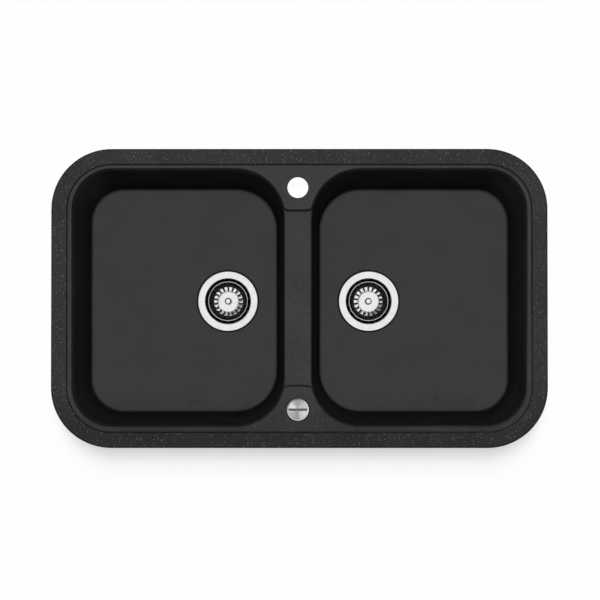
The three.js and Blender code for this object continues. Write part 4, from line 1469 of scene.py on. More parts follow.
class PopUpWaste(Waste):
    """The remotely worked waste, with a lever in a housing that points at the front."""

    body_nodes = ("_body", "_tailpiece")
    pivot = Vector((0, -28.0, -63.0))
    pin_radius, pin_reach = 2.1, Vector((12, 0, 0))
    half_room, half_outside = 4.5, 6.5
    housing_from, room_from, window_to, housing_end = -20.5, -17.5, -26.9, -64.0
    top, bottom = -53.0, -73.0

    def shell_with_openings(self) -> Object:
        """The body's shell, with the lever's window in its outlet.

        Returns:
            The shell.
        """
        shell = self.body_shell()
        low, high = (-self.half_room, self.room_from, -71.0), (self.half_room, self.window_to, -55.0)
        return smooth(cut_away(shell, self.box("window", low, high)), 35)

    def housing(self) -> None:
        """The lever's housing, open below and welded to the body."""
        half, room, end = self.half_outside, self.half_room, self.housing_end
        box = self.box("housing", (-half, self.housing_from, self.bottom), (half, end, self.top), 0.9)
        low, high = (-room, self.room_from, self.bottom - 3), (room, end + 2, self.top - 2)
        outline = [(0, -41.0), (43.9, -41.0), (24.1, -55.5), (24.1, -95.0), (0, -95.0)]
        middle = Vector((*self.centre, self.floor)) / MM + self.pivot
        cutters = [self.box("room", low, high), self.turned("welded_to", outline)]
        ends = middle - self.pin_reach, middle + self.pin_reach
        cutters.append(bar("pin_hole", self.pin_radius, *ends))
        for cutter in cutters:
            cut_away(box, cutter)
        name = "right_waste_lever_housing"
        white = self.finishes[Slot.WHITE]
        put_in_place(smooth(box, 35), name, white, Slot.WHITE, "sink", "lever_housing")

    def build(self) -> None:
        """Make the waste and its lever."""
        super().build()
        self.housing()
        pin = TurnedPart("lift_pin", Slot.BRUSHED, LIFT_PIN, 0.6, 48, "lift_pin")
        pin.build(self.finishes, self.centre, self.floor)
        kept = (("lever_cover", Slot.WHITE, 0.35), ("lever_pivot", Slot.BRUSHED, 0.25),
                ("lift_lever", Slot.ZINC, 0.4))
        for node, slot, edge in kept:
            dress(node, self.finishes[slot], edge)


# ---------------------------------------------------------------- control knob


class KnobUnit:
    """The control knob with its sleeve, nut, spindle, cable drum and case."""

    radius = 18.5
    low, high, crown = 10.1, 23.6, 0.27
    grip_length, grip_width, grip_floor, grip_edge = 31.0, 3.9, 22.1, 0.22
    gland_x, gland_z, gland_from, gland_to = 5.9, -24.5, 14.2, 29.0
    gland_radius, gland_bore = 4.0, 1.5
    past_gland = Vector((0, 6, 0))
    rounding, arc_steps, turns = 0.25, 4, 160
    above_face, under_face, beside_slot = 5.0, 0.05, 0.1
    skirt: Profile = [(4.3, low), (8.3, low), (8.3, 18.6), (15.9, 18.6), (15.9, low), (radius, low)]
    face: Profile = [
        (radius, high - 1.1), (radius - 0.3, high - 0.5), (radius - 2.2, high - 0.05),
        (radius - 2.8, high), (radius * 0.5, high + crown * 0.75), (0, high + crown), (0, 20.1),
        (4.3, 20.1),
    ]
    sleeve: Profile = [
        (4.3, 0.2), (10.7, -1.8), (10.7, -19.0), (13.3, -19.0), *threads(13.7, 0.5, -18.4, -3.4, 1.5),
        (13.7, 8.2), (17.6, 8.2), (17.6, 9.3), (17.1, 9.8), (4.3, 9.8),
    ]
    spindle: Profile = [(0, -30.5), (4.0, -30.5), (4.0, 19.8), (0, 19.8)]
    drum: Profile = [
        (4.3, -28.5), (9.3, -28.5), (9.3, -26.5), (5.9, -25.5), (5.9, -23.5), (9.3, -22.5), (9.3, -20.5),
        (4.3, -20.5),
    ]
    cover: Profile = [
        (0, -38.9), (17.0, -38.9), (17.0, -37.6), (13.6, -37.6), (13.6, -34.6), (11.6, -34.6),
        (11.6, -36.8), (5.0, -36.8), (5.0, -30.8), (0, -30.8),
    ]
    case_wall: Profile = [
        (14.0, -19.2), (14.0, -12.4), (17.0, -12.4), (17.0, -37.4), (13.9, -37.4), (13.9, -34.4),
        (12.9, -34.4), (12.9, -19.2),
    ]
    parts = (
        TurnedPart("knob_gasket", Slot.RUBBER, ring_profile(14.5, 17.1, 7.2, 8.0), 0.2),
        TurnedPart("knob_sleeve", Slot.BRUSHED, sleeve, 0.12),
        TurnedPart("knob_washer", Slot.RUBBER, ring_profile(14.0, 19.0, -4.2, -3.2), 0.25),
        TurnedPart("knob_spindle", Slot.BRUSHED, spindle, 0.5, 48, "knob"),
        TurnedPart("cable_drum", Slot.WHITE, drum, 0.3, 64, "knob"),
        TurnedPart("drum_cover", Slot.BLACK, cover, 0.5),
    )

    def __init__(self, finishes: "Finishes", centre: Point) -> None:
        """Set out the unit.

        Args:
            finishes: The materials.
            centre: Its axis, in metres.
        """
        self.finishes = finishes
        self.centre = centre

    def point(self, x: float, y: float, z: float) -> Vector:
        """A point beside the axis, in millimetres."""
        return Vector((self.centre[0] / MM + x, self.centre[1] / MM + y, z))

    def knob(self) -> None:
        """The knob, with its grip slot across the face."""
        profile = rounded([*self.skirt, *self.face], self.rounding, self.arc_steps)
        knob = turned("knob", profile, self.centre, self.turns)
        half = (self.grip_length / 2, self.grip_width / 2)
        low = self.point(-half[0], -half[1], self.grip_floor) * MM
        high = self.point(*half, self.high + self.above_face) * MM
        cut_away(knob, box_piece("grip", low, high))
        lowest = (self.high - self.under_face) * MM

        def on_slot_edge(a: Vector, b: Vector) -> bool:
            """Whether an edge's two ends lie on the slot's rim."""
            near = all(abs(v[i] - self.centre[i]) < (half[i] + self.beside_slot) * MM
                       for v in (a, b) for i in (0, 1))
            return near and min(a.z, b.z) > lowest

        round_edges(knob, self.grip_edge * MM, on_slot_edge)
        name, steel = "control_knob_turned", self.finishes.knob_face(self.centre)
        put_in_place(smooth(knob, 30), name, steel, Slot.BRUSHED, "knob", "control_knob")

    def case(self) -> None:
        """The drum's case, with the cable's gland."""
        case = turned("case", rounded(self.case_wall, 0.5), self.centre, 96)
        start = self.point(self.gland_x, self.gland_from, self.gland_z)
        end = self.point(self.gland_x, self.gland_to, self.gland_z)
        combine(case, bar("gland", self.gland_radius, start, end, 48), "UNION")
        start, end = start - self.past_gland, end + self.past_gland
        cut_away(case, bar("gland_bore", self.gland_bore, start, end, 24))
        black = self.finishes[Slot.BLACK]
        put_in_place(smooth(case, 35), "cable_drum_case", black, Slot.BLACK, "sink", "drum_case")

    def build(self) -> None:
        """Make the whole unit."""
        self.knob()
        self.case()
        for part in self.parts:
            part.build(self.finishes, self.centre, 0.0)
        dress("knob_nut", self.finishes.on_axis(Slot.ZINC, self.centre), 0.6)
        dress("knob_grub_screw", self.finishes[Slot.ZINC], 0.2)


# ---------------------------------------------------------------- fixing claws


class Claws:
    """Eight claws and their screws, modelled once and copied round the rim."""

    plate: Profile = [(-6.0, -3.5), (-2.0, -8.0), (16.0, -8.0), (16.0, 8.0), (-2.0, 8.0), (-6.0, 3.5)]
    plate_low, plate_high = -35, -33
    boxes = {
        "lip": (Vector((14, -8, -34)), Vector((16, 8, -30))),
        "post": (Vector((-6, -3.5, -34)), Vector((-4, 3.5, -16.3))),
    }
    edge, hole = 0.5, 2.7
    hole_ends = (Vector((0, 0, -40)), Vector((0, 0, -28)))
    shank: Profile = [
        (0, -38.2), (4.1, -38.2), (4.5, -37.8), (4.5, -35.5), (4.2, -35.2),
        *threads(2.4, 0.35, -35.2, -5.4, 1.0), (2.0, -4.8), (0, -4.8),
    ]
    socket_flats, socket_low, socket_high = 4.2, -40, -36.2

    def claw(self) -> Object:
        """One claw, with the rim's edge towards +X.

        Returns:
            The claw.
        """
        outline = [(x * MM, y * MM) for x, y in self.plate]
        claw = flat_piece("claw", outline, self.plate_low * MM, self.plate_high * MM)
        boxes = [box_piece(name, low * MM, high * MM) for name, (low, high) in self.boxes.items()]
        for box in boxes:
            combine(claw, box, "UNION")
        round_edges(claw, self.edge * MM, lambda a, b: True)
        cut_away(claw, bar("claw_hole", self.hole, *self.hole_ends))
        return smooth(make_solid(claw), 35)

    def screw(self) -> Object:
        """One claw's screw, with a hexagon socket below.

        Returns:
            The screw.
        """
        screw = turned("claw_screw", self.shank, ON_AXIS, 24)
        corners = hexagon(self.socket_flats, ON_AXIS)
        socket = flat_piece("socket", corners, self.socket_low * MM, self.socket_high * MM)
        return smooth(cut_away(screw, socket), 30)

    def build(self, finishes: "Finishes") -> None:
        """Make all claws and screws.

        Args:
            finishes: The materials.
        """
        claw, screw = self.claw(), self.screw()
        zinc = finishes[Slot.ZINC]
        for i, seat in enumerate(CLAW_SEATS, start=1):
            for pattern, name, body, node in ((claw, "pressed_claw", f"claw_{i}", "fixing_claw"),
                                              (screw, "socket_screw", "sink", "claw_screw")):
                name = f"{name}_{i}"
                piece = copy_of(pattern, name, seat.matrix())
                put_in_place(piece, name, zinc, Slot.ZINC, body, f"{node}_{i}")
        discard(claw, screw)


# ---------------------------------------------------------------- node graphs

Colour = tuple[float, float, float]
Socket = bpy.types.NodeSocket
Tree = bpy.types.NodeTree
Inputs = dict[str | int, object]
LOOKS = {"Colour": "Color", "Roughness": "Float", "Normal": "Vector"}
BLACK: Colour = (0.0, 0.0, 0.0)
WHITE: Colour = (1.0, 1.0, 1.0)


@dataclass(frozen=True)
class Fade:
    """A level that goes smoothly from a first to a last value between two places."""

    start: float
    end: float
    first: float = 0.0
    last: float = 1.0


class Graph:
    """A node tree that is being wired."""

    def __init__(self, tree: Tree) -> None:
        """Start with an empty tree."""
        self.tree = tree
        tree.nodes.clear()

    def feed(self, socket: Socket, value: object) -> None:
        """Wire a socket to another one, or set its value.

        Args:
            socket: The socket.
            value: Another node's output, a number, a vector or a colour.
        """
        if isinstance(value, bpy.types.NodeSocket):
            self.tree.links.new(value, socket)
        elif isinstance(value, tuple) and len(value) == 3 and socket.type == "RGBA":
            socket.default_value = (*value, 1.0)
        else:
            socket.default_value = value

    def add(self, kind: str, inputs: Inputs | None = None, **settings: object) -> bpy.types.Node:
        """Add a node.

        Args:
            kind: Its type.
            inputs: What its inputs get, by name or number.
            settings: Its settings.

        Returns:
            The node.
        """
        node = self.tree.nodes.new(kind)
        for key, value in settings.items():
            setattr(node, key, value)
        for key, value in (inputs or {}).items():
            self.feed(node.inputs[key], value)
        return node

    def math(self, operation: str, *values: object, clamp: bool = False) -> Socket:
        """The result of a sum on numbers."""
        inputs = dict(enumerate(values))
        return self.add("ShaderNodeMath", inputs, operation=operation, use_clamp=clamp).outputs[0]

    def times(self, first: object, *others: object) -> Socket:
        """The product of numbers.

        Args:
            first: The first number.
            others: The others.

        Returns:
            The product.
        """
        for other in others:
            first = self.math("MULTIPLY", first, other)
        return first

    def vector(self, operation: str, *values: object) -> Socket:
        """The result of a sum on vectors."""
        node = self.add("ShaderNodeVectorMath", dict(enumerate(values)), operation=operation)
        return node.outputs["Value" if operation in ("LENGTH", "DOT_PRODUCT") else "Vector"]

    def ramp(
        self, value: object, low: float, high: float, first: object = 0.0, last: object = 1.0
    ) -> Socket:
        """A value mapped smoothly from one range to another.

        Args:
            value: The value.
            low: Where the change starts.
            high: Where it ends.
            first: The result up to there.
            last: The result from there on.

        Returns:
            The result.
        """
        inputs = {"Value": value, "From Min": low, "From Max": high, "To Min": first, "To Max": last}
        return self.add("ShaderNodeMapRange", inputs, interpolation_type="SMOOTHSTEP").outputs["Result"]

    def fade(self, value: object, fade: Fade) -> Socket:
        """The level of a fade at a place."""
        return self.ramp(value, fade.start, fade.end, fade.first, fade.last)

    def share(self, amount: object, first: object, last: object) -> Socket:
        """A number between two, by an amount from 0 to 1."""
        return self.ramp(amount, 0.0, 1.0, first, last)

    def mix(self, factor: object, first: object, last: object, blend: str = "MIX") -> Socket:
        """A mix of two colours."""
        inputs = {0: factor, 6: first, 7: last}
        return self.add("ShaderNodeMix", inputs, data_type="RGBA", blend_type=blend).outputs[2]

    def noise(self, vector: Socket, scale: object, detail: float) -> Socket:
        """Soft noise between 0 and 1."""
        inputs = {"Vector": vector, "Scale": scale, "Detail": detail}
        return self.add("ShaderNodeTexNoise", inputs).outputs["Fac"]

    def cells(self, vector: Socket, scale: float) -> tuple[Socket, Socket]:
        """The distance to the nearest grain and that grain's own random number.

        Args:
            vector: The place.
            scale: Grains per metre.

        Returns:
            The distance and the number.
        """
        node = self.add("ShaderNodeTexVoronoi", {"Vector": vector, "Scale": scale})
        own = self.add("ShaderNodeSeparateColor", {0: node.outputs["Color"]}).outputs[0]
        return node.outputs["Distance"], own

    def bump(self, height: Socket, strength: object, distance: float) -> Socket:
        """A normal from a height."""
        inputs = {"Height": height, "Strength": strength, "Distance": distance}
        return self.add("ShaderNodeBump", inputs).outputs["Normal"]

    def split(self, vector: Socket) -> tuple[Socket, Socket, Socket]:
        """A vector's three numbers."""
        return tuple(self.add("ShaderNodeSeparateXYZ", {0: vector}).outputs)

    def combine(self, x: object, y: object, z: object) -> Socket:
        """A vector of three numbers."""
        return self.add("ShaderNodeCombineXYZ", {0: x, 1: y, 2: z}).outputs[0]

    def reach(self, x: Socket, y: Socket) -> Socket:
        """The length of two numbers at right angles."""
        return self.vector("LENGTH", self.combine(x, y, 0.0))


def new_group(name: str, inputs: dict[str, str]) -> tuple[Graph, Socket, Socket]:
    """Start a node group that puts out looks.

    Args:
        name: The group's name.
        inputs: Its input sockets and their kinds.

    Returns:
        The group's graph, its input node's outputs and its output node's inputs.
    """
    tree = bpy.data.node_groups.new(name, "ShaderNodeTree")
    graph = Graph(tree)
    for way, sockets in (("INPUT", inputs), ("OUTPUT", LOOKS)):
        for socket, kind in sockets.items():
            tree.interface.new_socket(name=socket, in_out=way, socket_type="NodeSocket" + kind)
    return graph, graph.add("NodeGroupInput").outputs, graph.add("NodeGroupOutput").inputs


# ---------------------------------------------------------------- materials


@dataclass(frozen=True)
class JointShadow:
    """Painted shadow: a dark line where a round piece meets the stone. All in metres."""

    x: float
    y: float
    lowest: float
    radius: float


@dataclass(frozen=True)
class StoneLook:
    """Flecked granite composite. The raised band is darker and more flecked than the deck."""

    base: Colour = (0.036, 0.0361, 0.0366)
    light: Colour = (0.25, 0.252, 0.256)
    dark: Colour = (0.01, 0.01, 0.011)
    light_grain: float = 700.0
    light_size: Fade = Fade(0.4, 0.25)
    light_chosen: Fade = Fade(0.93, 0.96)
    dark_grain: float = 520.0
    dark_size: Fade = Fade(0.5, 0.25)
    dark_chosen: Fade = Fade(0.6, 0.7)
    dark_shift: Colour = (0.31, 0.17, 0.23)
    broad_noise: Point = (16.0, 4.0)
    broad: Fade = Fade(0.3, 0.7, 0.84, 1.04)
    fine_noise: Point = (560.0, 2.0)
    fine: Fade = Fade(0.3, 0.7, -0.2, 0.2)
    # where the band starts, its shade, and the flecks and relief of the deck and of the band
    band: Fade = Fade(0.0074, 0.0088)
    band_flecks: tuple[float, float] = (0.35, 1.0)
    band_shade: float = 0.76
    band_relief: tuple[float, float] = (0.12, 0.3)
    floor_flecks: Fade = Fade(-0.05, -0.15, 1.0, 0.4)
    # painted shade: the bowls' walls are darkened below the deck, and their floors are brightened back
    # to a little above the deck's level
    wall_shade_by_height: tuple[Fade, ...] = (
        Fade(-0.012, -0.03, 1.0, 0.84), Fade(-0.07, -0.18, 1.0, 0.66), Fade(-0.186, -0.1892, 1.0, 2.14),
    )
    # painted shade: the stone gets darker towards the front edge
    front: Fade = Fade(-0.23, -0.14, 0.7, 1.0)
    rough: Fade = Fade(0.2, 0.8, 0.56, 0.7)
    fleck_height: float = 0.6
    relief: float = 0.00015
    deck_specular: Fade = Fade(-0.012, -0.005, 0.0, 0.1)
    upright: Fade = Fade(0.45, 0.25)
    facing_specular: Fade = Fade(0.55, 0.8, 0.4, 0.0)
    # painted shade in the groove at the band's foot, at lips and steps, darker towards the back and the
    # left, and on the rim's outer edge
    # distances are measured from the box between the middles of the rim's corners
    corner_start: Point = (0.314, 0.149)
    inside: Fade = Fade(0.0945, 0.0925)
    crevice: tuple[Fade, Fade] = (Fade(-0.0035, -0.002), Fade(0.0067, 0.0061))
    crevice_level: Fade = Fade(-0.15, 0.15, 0.6, 0.38)
    corner_slope: float = 0.5
    corner_level: Fade = Fade(-0.35, -0.15, 1.1, 0.38)
    edge: Fade = Fade(0.0984, 0.0996)
    edge_height: Fade = Fade(0.005, 0.007)
    edge_level: float = 0.3
    joint_blur: float = 0.0009
    joint_depth: float = 0.0005
    joints: tuple[JointShadow, ...] = ()

    def group(self) -> Tree:
        """The stone's colour, roughness and normal.

        Returns:
            The node group.
        """
        graph, given, out = new_group("flecked_stone", {"Vector": "Vector"})
        vector = given["Vector"]
        x, y, z = graph.split(vector)
        band = graph.fade(z, self.band)
        flecks = graph.times(graph.share(band, *self.band_flecks), graph.fade(z, self.floor_flecks))
        near, own = graph.cells(vector, self.light_grain)
        light = graph.times(graph.fade(near, self.light_size), graph.fade(own, self.light_chosen))
        near, own = graph.cells(graph.vector("ADD", vector, self.dark_shift), self.dark_grain)
        dark = graph.times(graph.fade(near, self.dark_size), graph.fade(own, self.dark_chosen))
        broad, fine = (graph.noise(vector, *noise) for noise in (self.broad_noise, self.fine_noise))
        level = graph.math("ADD", graph.fade(broad, self.broad), graph.fade(fine, self.fine))
        # painted shade: darker walls by height, in the grooves, at lips and steps, on the rim's edge and
        # towards the front
        level = graph.times(
            level, *(graph.fade(z, fade) for fade in self.wall_shade_by_height), self.in_crevice(graph, x, y, z),
            graph.fade(y, self.front), graph.share(band, 1.0, self.band_shade),
        )
        body = graph.mix(level, BLACK, self.base)
        body = graph.mix(graph.times(dark, flecks), body, self.dark)
        body = graph.mix(graph.times(light, flecks), body, self.light)
        # painted shadow rings where the wastes' flanges and the knob meet the stone
        for joint in self.joints:
            body = graph.mix(self.in_joint_shadow(graph, vector, joint), body, self.dark)
        graph.feed(out["Colour"], body)
        graph.feed(out["Roughness"], graph.fade(fine, self.rough))
        height = graph.math("ADD", graph.times(light, self.fleck_height), fine)
        graph.feed(out["Normal"], graph.bump(height, graph.share(band, *self.band_relief), self.relief))
        return graph.tree

    def in_crevice(self, graph: Graph, x: Socket, y: Socket, z: Socket) -> Socket:
        """The shade in the groove at the band's foot, at lips and steps, and on the rim's outer edge.

        Args:
            graph: The group's graph.
            x: The place in X.
            y: The place in Y.
            z: The height.

        Returns:
            The level.
        """
        past = (graph.math("SUBTRACT", graph.math("ABSOLUTE", side), start)
                for side, start in zip((x, y), self.corner_start, strict=True))
        out = graph.reach(*(graph.math("MAXIMUM", value, 0.0) for value in past))
        mask = graph.times(*(graph.fade(z, fade) for fade in self.crevice), graph.fade(out, self.inside))
        slope = graph.math("SUBTRACT", y, graph.times(x, self.corner_slope))
        levels = graph.fade(y, self.crevice_level), graph.fade(slope, self.corner_level)
        darkest = graph.math("MAXIMUM", *levels)
        edge = graph.times(graph.fade(out, self.edge), graph.fade(z, self.edge_height))
        return graph.times(graph.share(mask, 1.0, darkest), graph.share(edge, 1.0, self.edge_level))

    def in_joint_shadow(self, graph: Graph, vector: Socket, joint: JointShadow) -> Socket:
        """How deep a place lies in the painted shadow where a round piece meets the stone.

        Args:
            graph: The group's graph.
            vector: The place.
            joint: The joint.

        Returns:
            1 within the painted shadow, 0 away from it.
        """
        x, y, z = graph.split(graph.vector("SUBTRACT", vector, (joint.x, joint.y, 0.0)))
        mask = graph.ramp(graph.reach(x, y), joint.radius, joint.radius - self.joint_blur)
        return graph.times(mask, graph.ramp(z, joint.lowest - self.joint_depth, joint.lowest))


@dataclass(frozen=True)
class MetalLook:
    """Steel, turned or pressed round an axis."""

    name: str
    colour: Colour
    dull: Colour
    roughness: float
    spread: float
    rings: float
    anisotropy: float = 0.0


@dataclass(frozen=True)
class MottleLook:
    """A moulded or plated surface with a soft mottle."""

    name: str
    first: Colour
    last: Colour
    grain: float
    roughness: float
    spread: float
    relief: float
    metallic: float = 0.0


@dataclass(frozen=True)
class DrainLook:
    """Where a waste's steel keeps its colour and where it is painted with shade, by depth below the
    flange's top and by radius, in metres.
    """

    flange: Fade = Fade(-0.0022, -0.0014)
    rim_depth: Fade = Fade(-0.0064, -0.0059)
    rim_radius: Fade = Fade(0.036, 0.0354)
    petal_radius: Fade = Fade(0.0262, 0.0246)
    petal_depth: Fade = Fade(-0.034, -0.028)
    shade: Colour = (0.12, 0.12, 0.12)


@dataclass(frozen=True)
class KnobLook:
    """The painted sheen, glint and grip shade on the knob's face, in metres from its axis and by angle
    from the right.
    """

    face: Fade = Fade(0.0228, 0.0234)
    face_radius: Fade = Fade(0.0176, 0.0172)
    grip_length: Fade = Fade(0.0157, 0.0155)
    grip_width: Fade = Fade(0.0021, 0.0019)
    grip_height: Fade = Fade(0.0236, 0.0233)
    # painted shade in the grip, and a painted glint below it
    grip_shade: Colour = (0.16, 0.16, 0.16)
    glint: tuple[Fade, Fade] = (Fade(-0.0036, -0.0032), Fade(-0.002, -0.0022))
    glint_shade: Colour = (0.85, 0.85, 0.85)
    # painted sheen of the spun face, by angle round the axis
    wedges: tuple[Point, ...] = (
        (0, 0.74), (45, 0.68), (66, 0.56), (80, 0.46), (100, 0.44), (122, 0.64), (140, 0.9), (160, 0.96),
        (182, 0.86), (198, 0.6), (230, 0.54), (255, 0.42), (274, 0.4), (292, 0.66), (330, 0.8),
        (360, 0.74),
    )


STEELS = {
    Slot.POLISHED: MetalLook("polished", (0.93, 0.93, 0.925), (0.84, 0.84, 0.835), 0.09, 0.05, 0.015),
    Slot.BRUSHED: MetalLook("brushed", (0.74, 0.74, 0.725), (0.58, 0.58, 0.57), 0.28, 0.14, 0.3, 0.4),
    Slot.ZINC: MetalLook("zinc_turned", (0.66, 0.68, 0.7), (0.5, 0.52, 0.54), 0.3, 0.14, 0.12),
}
SPUN_KNOB = MetalLook("spun_knob", (0.95, 0.95, 0.94), (0.86, 0.86, 0.85), 0.2, 0.08, 0.25, 0.6)
MOTTLES = {
    Slot.ZINC: MottleLook("zinc", (0.66, 0.68, 0.7), (0.48, 0.5, 0.52), 420.0, 0.3, 0.16, 0.12, 1.0),
    Slot.RUBBER: MottleLook(
        "rubber", (0.022, 0.022, 0.023), (0.014, 0.014, 0.015), 700.0, 0.68, 0.12, 0.3
    ),
    Slot.FOAM: MottleLook("foam", (0.11, 0.115, 0.12), (0.06, 0.064, 0.07), 1300.0, 0.9, 0.08, 0.8),
    Slot.WHITE: MottleLook(
        "white_plastic", (0.8, 0.8, 0.775), (0.75, 0.75, 0.72), 260.0, 0.38, 0.1, 0.12
    ),
    Slot.BLACK: MottleLook(
        "black_plastic", (0.022, 0.023, 0.025), (0.015, 0.016, 0.018), 500.0, 0.42, 0.12, 0.2
    ),
}


class Finish:
    """A material that is being made: a shader that is fed by a group of looks."""

    def __init__(self, name: str, group: Tree, metallic: float = 0.0, centre: Point = ON_AXIS) -> None:
        """Start the material.

        Args:
            name: The material's name.
            group: The group of looks.
            metallic: Its metallic value.
            centre: The axis that places are measured from, in metres.
        """
        self.material = bpy.data.materials.new(name)
        self.material.use_nodes = True
        self.graph = graph = Graph(self.material.node_tree)
        self.shader = graph.add("ShaderNodeBsdfPrincipled")
        graph.add("ShaderNodeOutputMaterial", {"Surface": self.shader.outputs[0]})
        self.looks = graph.add("ShaderNodeGroup", node_tree=group)
        self.place = graph.add("ShaderNodeTexCoord").outputs["Object"]
        if centre != ON_AXIS:
            self.place = graph.vector("SUBTRACT", self.place, (*centre, 0.0))
        graph.feed(self.looks.inputs[0], self.place)
        wires = {"Base Color": "Colour", "Roughness": "Roughness", "Normal": "Normal"}
        self.set_shader({socket: self.looks.outputs[look] for socket, look in wires.items()})
        self.set_shader({"Metallic": metallic})

    def set_shader(self, values: dict[str, object]) -> None:
        """Feed the shader's inputs."""
        for socket, value in values.items():
            self.graph.feed(self.shader.inputs[socket], value)

    def set_looks(self, values: dict[str, object]) -> None:
        """Feed the group's inputs."""
        for socket, value in values.items():
            self.graph.feed(self.looks.inputs[socket], value)


class Finishes:
    """All materials, each made once."""

    # painted shadow rings in the stone round the wastes' flanges and round the knob
    joint_below_floor, joint_radius = 4 * MM, 55.2 * MM
    knob_joint_height, knob_joint_radius = 5 * MM, 20.6 * MM
    # each noise has its scale and its detail
    mottle, mottle_detail, mottle_depth = Fade(0.3, 0.7), 4.0, 0.0001
    mottle_grain = (1100.0, 2.0)
    rings, ring_share, ring_depth = Fade(0.35, 0.65), 0.6, 0.00004
    ring_noise, cloud_noise = (4200.0, 4.0), (90.0, 3.0)

    def __init__(self, sizes: SinkSizes) -> None:
        """Make the node groups and the plain materials.

        Args:
            sizes: The moulding's sizes.
        """
        lowest = sizes.floor * MM - self.joint_below_floor
        joints = [JointShadow(*sizes.drain(side), lowest, self.joint_radius) for side in (-1, 1)]
        joints.append(JointShadow(*sizes.knob(), self.knob_joint_height, self.knob_joint_radius))
        self.mottle_group = self.make_mottle_group()
        self.metal_group = self.make_metal_group()
        self.plain = {slot: self.mottled(look) for slot, look in MOTTLES.items()}
        self.plain[Slot.GRANITE] = self.granite(StoneLook(joints=tuple(joints)))
        self.made: dict[tuple, Material] = {}

    def __getitem__(self, slot: Slot) -> Material:
        """The material of a slot, on the object's own axis where it is turned."""
        return self.plain[slot] if slot in self.plain else self.on_axis(slot, ON_AXIS)

    @staticmethod
    def granite(look: StoneLook) -> Material:
        """The moulding's stone.

        Args:
            look: Its look.

        Returns:
            The material.
        """
        finish = Finish("granite_composite_flecked", look.group())
        graph = finish.graph
        deck = graph.fade(graph.split(finish.place)[2], look.deck_specular)
        facing = graph.add("ShaderNodeLayerWeight").outputs["Facing"]
        normal = graph.add("ShaderNodeNewGeometry").outputs["Normal"]
        upright = graph.fade(graph.math("ABSOLUTE", graph.split(normal)[2]), look.upright)
        walls = graph.times(upright, graph.fade(facing, look.facing_specular))
        finish.set_shader({"Specular IOR Level": graph.math("MAXIMUM", deck, walls)})
        return finish.material

    def make_mottle_group(self) -> Tree:
        """Two colours, a roughness and a fine relief, all from one noise.

        Returns:
            The node group.
        """
        inputs = {"Vector": "Vector", "First": "Color", "Last": "Color", "Grain": "Float",
                  "Smoothest": "Float", "Roughest": "Float", "Relief": "Float"}
        graph, given, out = new_group("mottle", inputs)
        noise = graph.noise(given["Vector"], given["Grain"], self.mottle_detail)
        share = graph.fade(noise, self.mottle)
        graph.feed(out["Colour"], graph.mix(share, given["First"], given["Last"]))
        graph.feed(out["Roughness"], graph.share(share, given["Smoothest"], given["Roughest"]))
        height = graph.math("ADD", share, graph.noise(given["Vector"], *self.mottle_grain))
        graph.feed(out["Normal"], graph.bump(height, given["Relief"], self.mottle_depth))
        return graph.tree

    def make_metal_group(self) -> Tree:
        """Fine rings round an axis, in colour, roughness and relief.

        Returns:
            The node group.
        """
        inputs = {"From axis": "Vector", "Bright": "Color", "Dull": "Color", "Smoothest": "Float",
                  "Roughest": "Float", "Rings": "Float"}
        graph, given, out = new_group("turned_metal", inputs)
        x, y, z = graph.split(given["From axis"])
        fine = graph.noise(graph.combine(graph.reach(x, y), z, 0.0), *self.ring_noise)
        broad = graph.times(graph.noise(given["From axis"], *self.cloud_noise), 1 - self.ring_share)
        share = graph.fade(graph.math("MULTIPLY_ADD", fine, self.ring_share, broad), self.rings)
        graph.feed(out["Colour"], graph.mix(share, given["Bright"], given["Dull"]))
        graph.feed(out["Roughness"], graph.share(share, given["Smoothest"], given["Roughest"]))
        graph.feed(out["Normal"], graph.bump(fine, given["Rings"], self.ring_depth))
        return graph.tree

    def mottled(self, look: MottleLook) -> Material:
        """A moulded or plated material.

        Args:
            look: Its look.

        Returns:
            The material.
        """
        finish = Finish(look.name, self.mottle_group, look.metallic)
        finish.set_looks({"First": look.first, "Last": look.last, "Grain": look.grain,
                          "Smoothest": look.roughness, "Roughest": look.roughness + look.spread,
                          "Relief": look.relief})
        return finish.material

    def steel(self, look: MetalLook, centre: Point) -> Finish:
        """A steel material round an axis.

        Args:
            look: Its look.
            centre: The axis, in metres.

        Returns:
            The material with its graph.
        """
        finish = Finish(f"{look.name}_steel_{round(centre[0] / MM)}", self.metal_group, 1.0, centre)
        finish.set_looks({"Bright": look.colour, "Dull": look.dull, "Smoothest": look.roughness,
                          "Roughest": look.roughness + look.spread, "Rings": look.rings})
        if look.anisotropy:
            graph = finish.graph
            x, y, _ = graph.split(finish.place)
            around = graph.vector("NORMALIZE", graph.combine(graph.times(y, -1.0), x, 0.0))
            finish.set_shader({"Anisotropic": look.anisotropy, "Tangent": around})
        return finish

    def on_axis(self, slot: Slot, centre: Point) -> Material:
        """A slot's material with its rings round an axis.

        Args:
            slot: The finish.
            centre: The axis, in metres.

        Returns:
            The material.
        """
        if slot not in STEELS:
            return self.plain[slot]
        key = (slot, *(round(c, 5) for c in centre))
        if key not in self.made:
            self.made[key] = self.steel(STEELS[slot], centre).material
        return self.made[key]

    def shaded_drain_steel(self, centre: Point, floor: float) -> Material:
        """Polished steel with painted shade in the cup and on the basket's wall.

        Args:
            centre: The waste's axis, in metres.
            floor: Height of the flange's top, in metres.

        Returns:
            The material.
        """
        key = ("drain", *(round(c, 5) for c in centre))
        if key not in self.made:
            finish = self.steel(replace(STEELS[Slot.POLISHED], name="drain_polished_shaded"), centre)
            graph, look = finish.graph, DrainLook()
            x, y, z = graph.split(finish.place)
            depth, radius = graph.math("SUBTRACT", z, floor), graph.reach(x, y)
            rim = graph.times(graph.fade(depth, look.rim_depth), graph.fade(radius, look.rim_radius))
            petals = graph.fade(radius, look.petal_radius), graph.fade(depth, look.petal_depth)
            bright = graph.math("MAXIMUM", graph.fade(depth, look.flange), rim)
            bright = graph.math("MAXIMUM", bright, graph.times(*petals))
            tint = graph.mix(bright, look.shade, finish.looks.outputs["Colour"])
            finish.set_shader({"Base Color": tint})
            self.made[key] = finish.material
        return self.made[key]

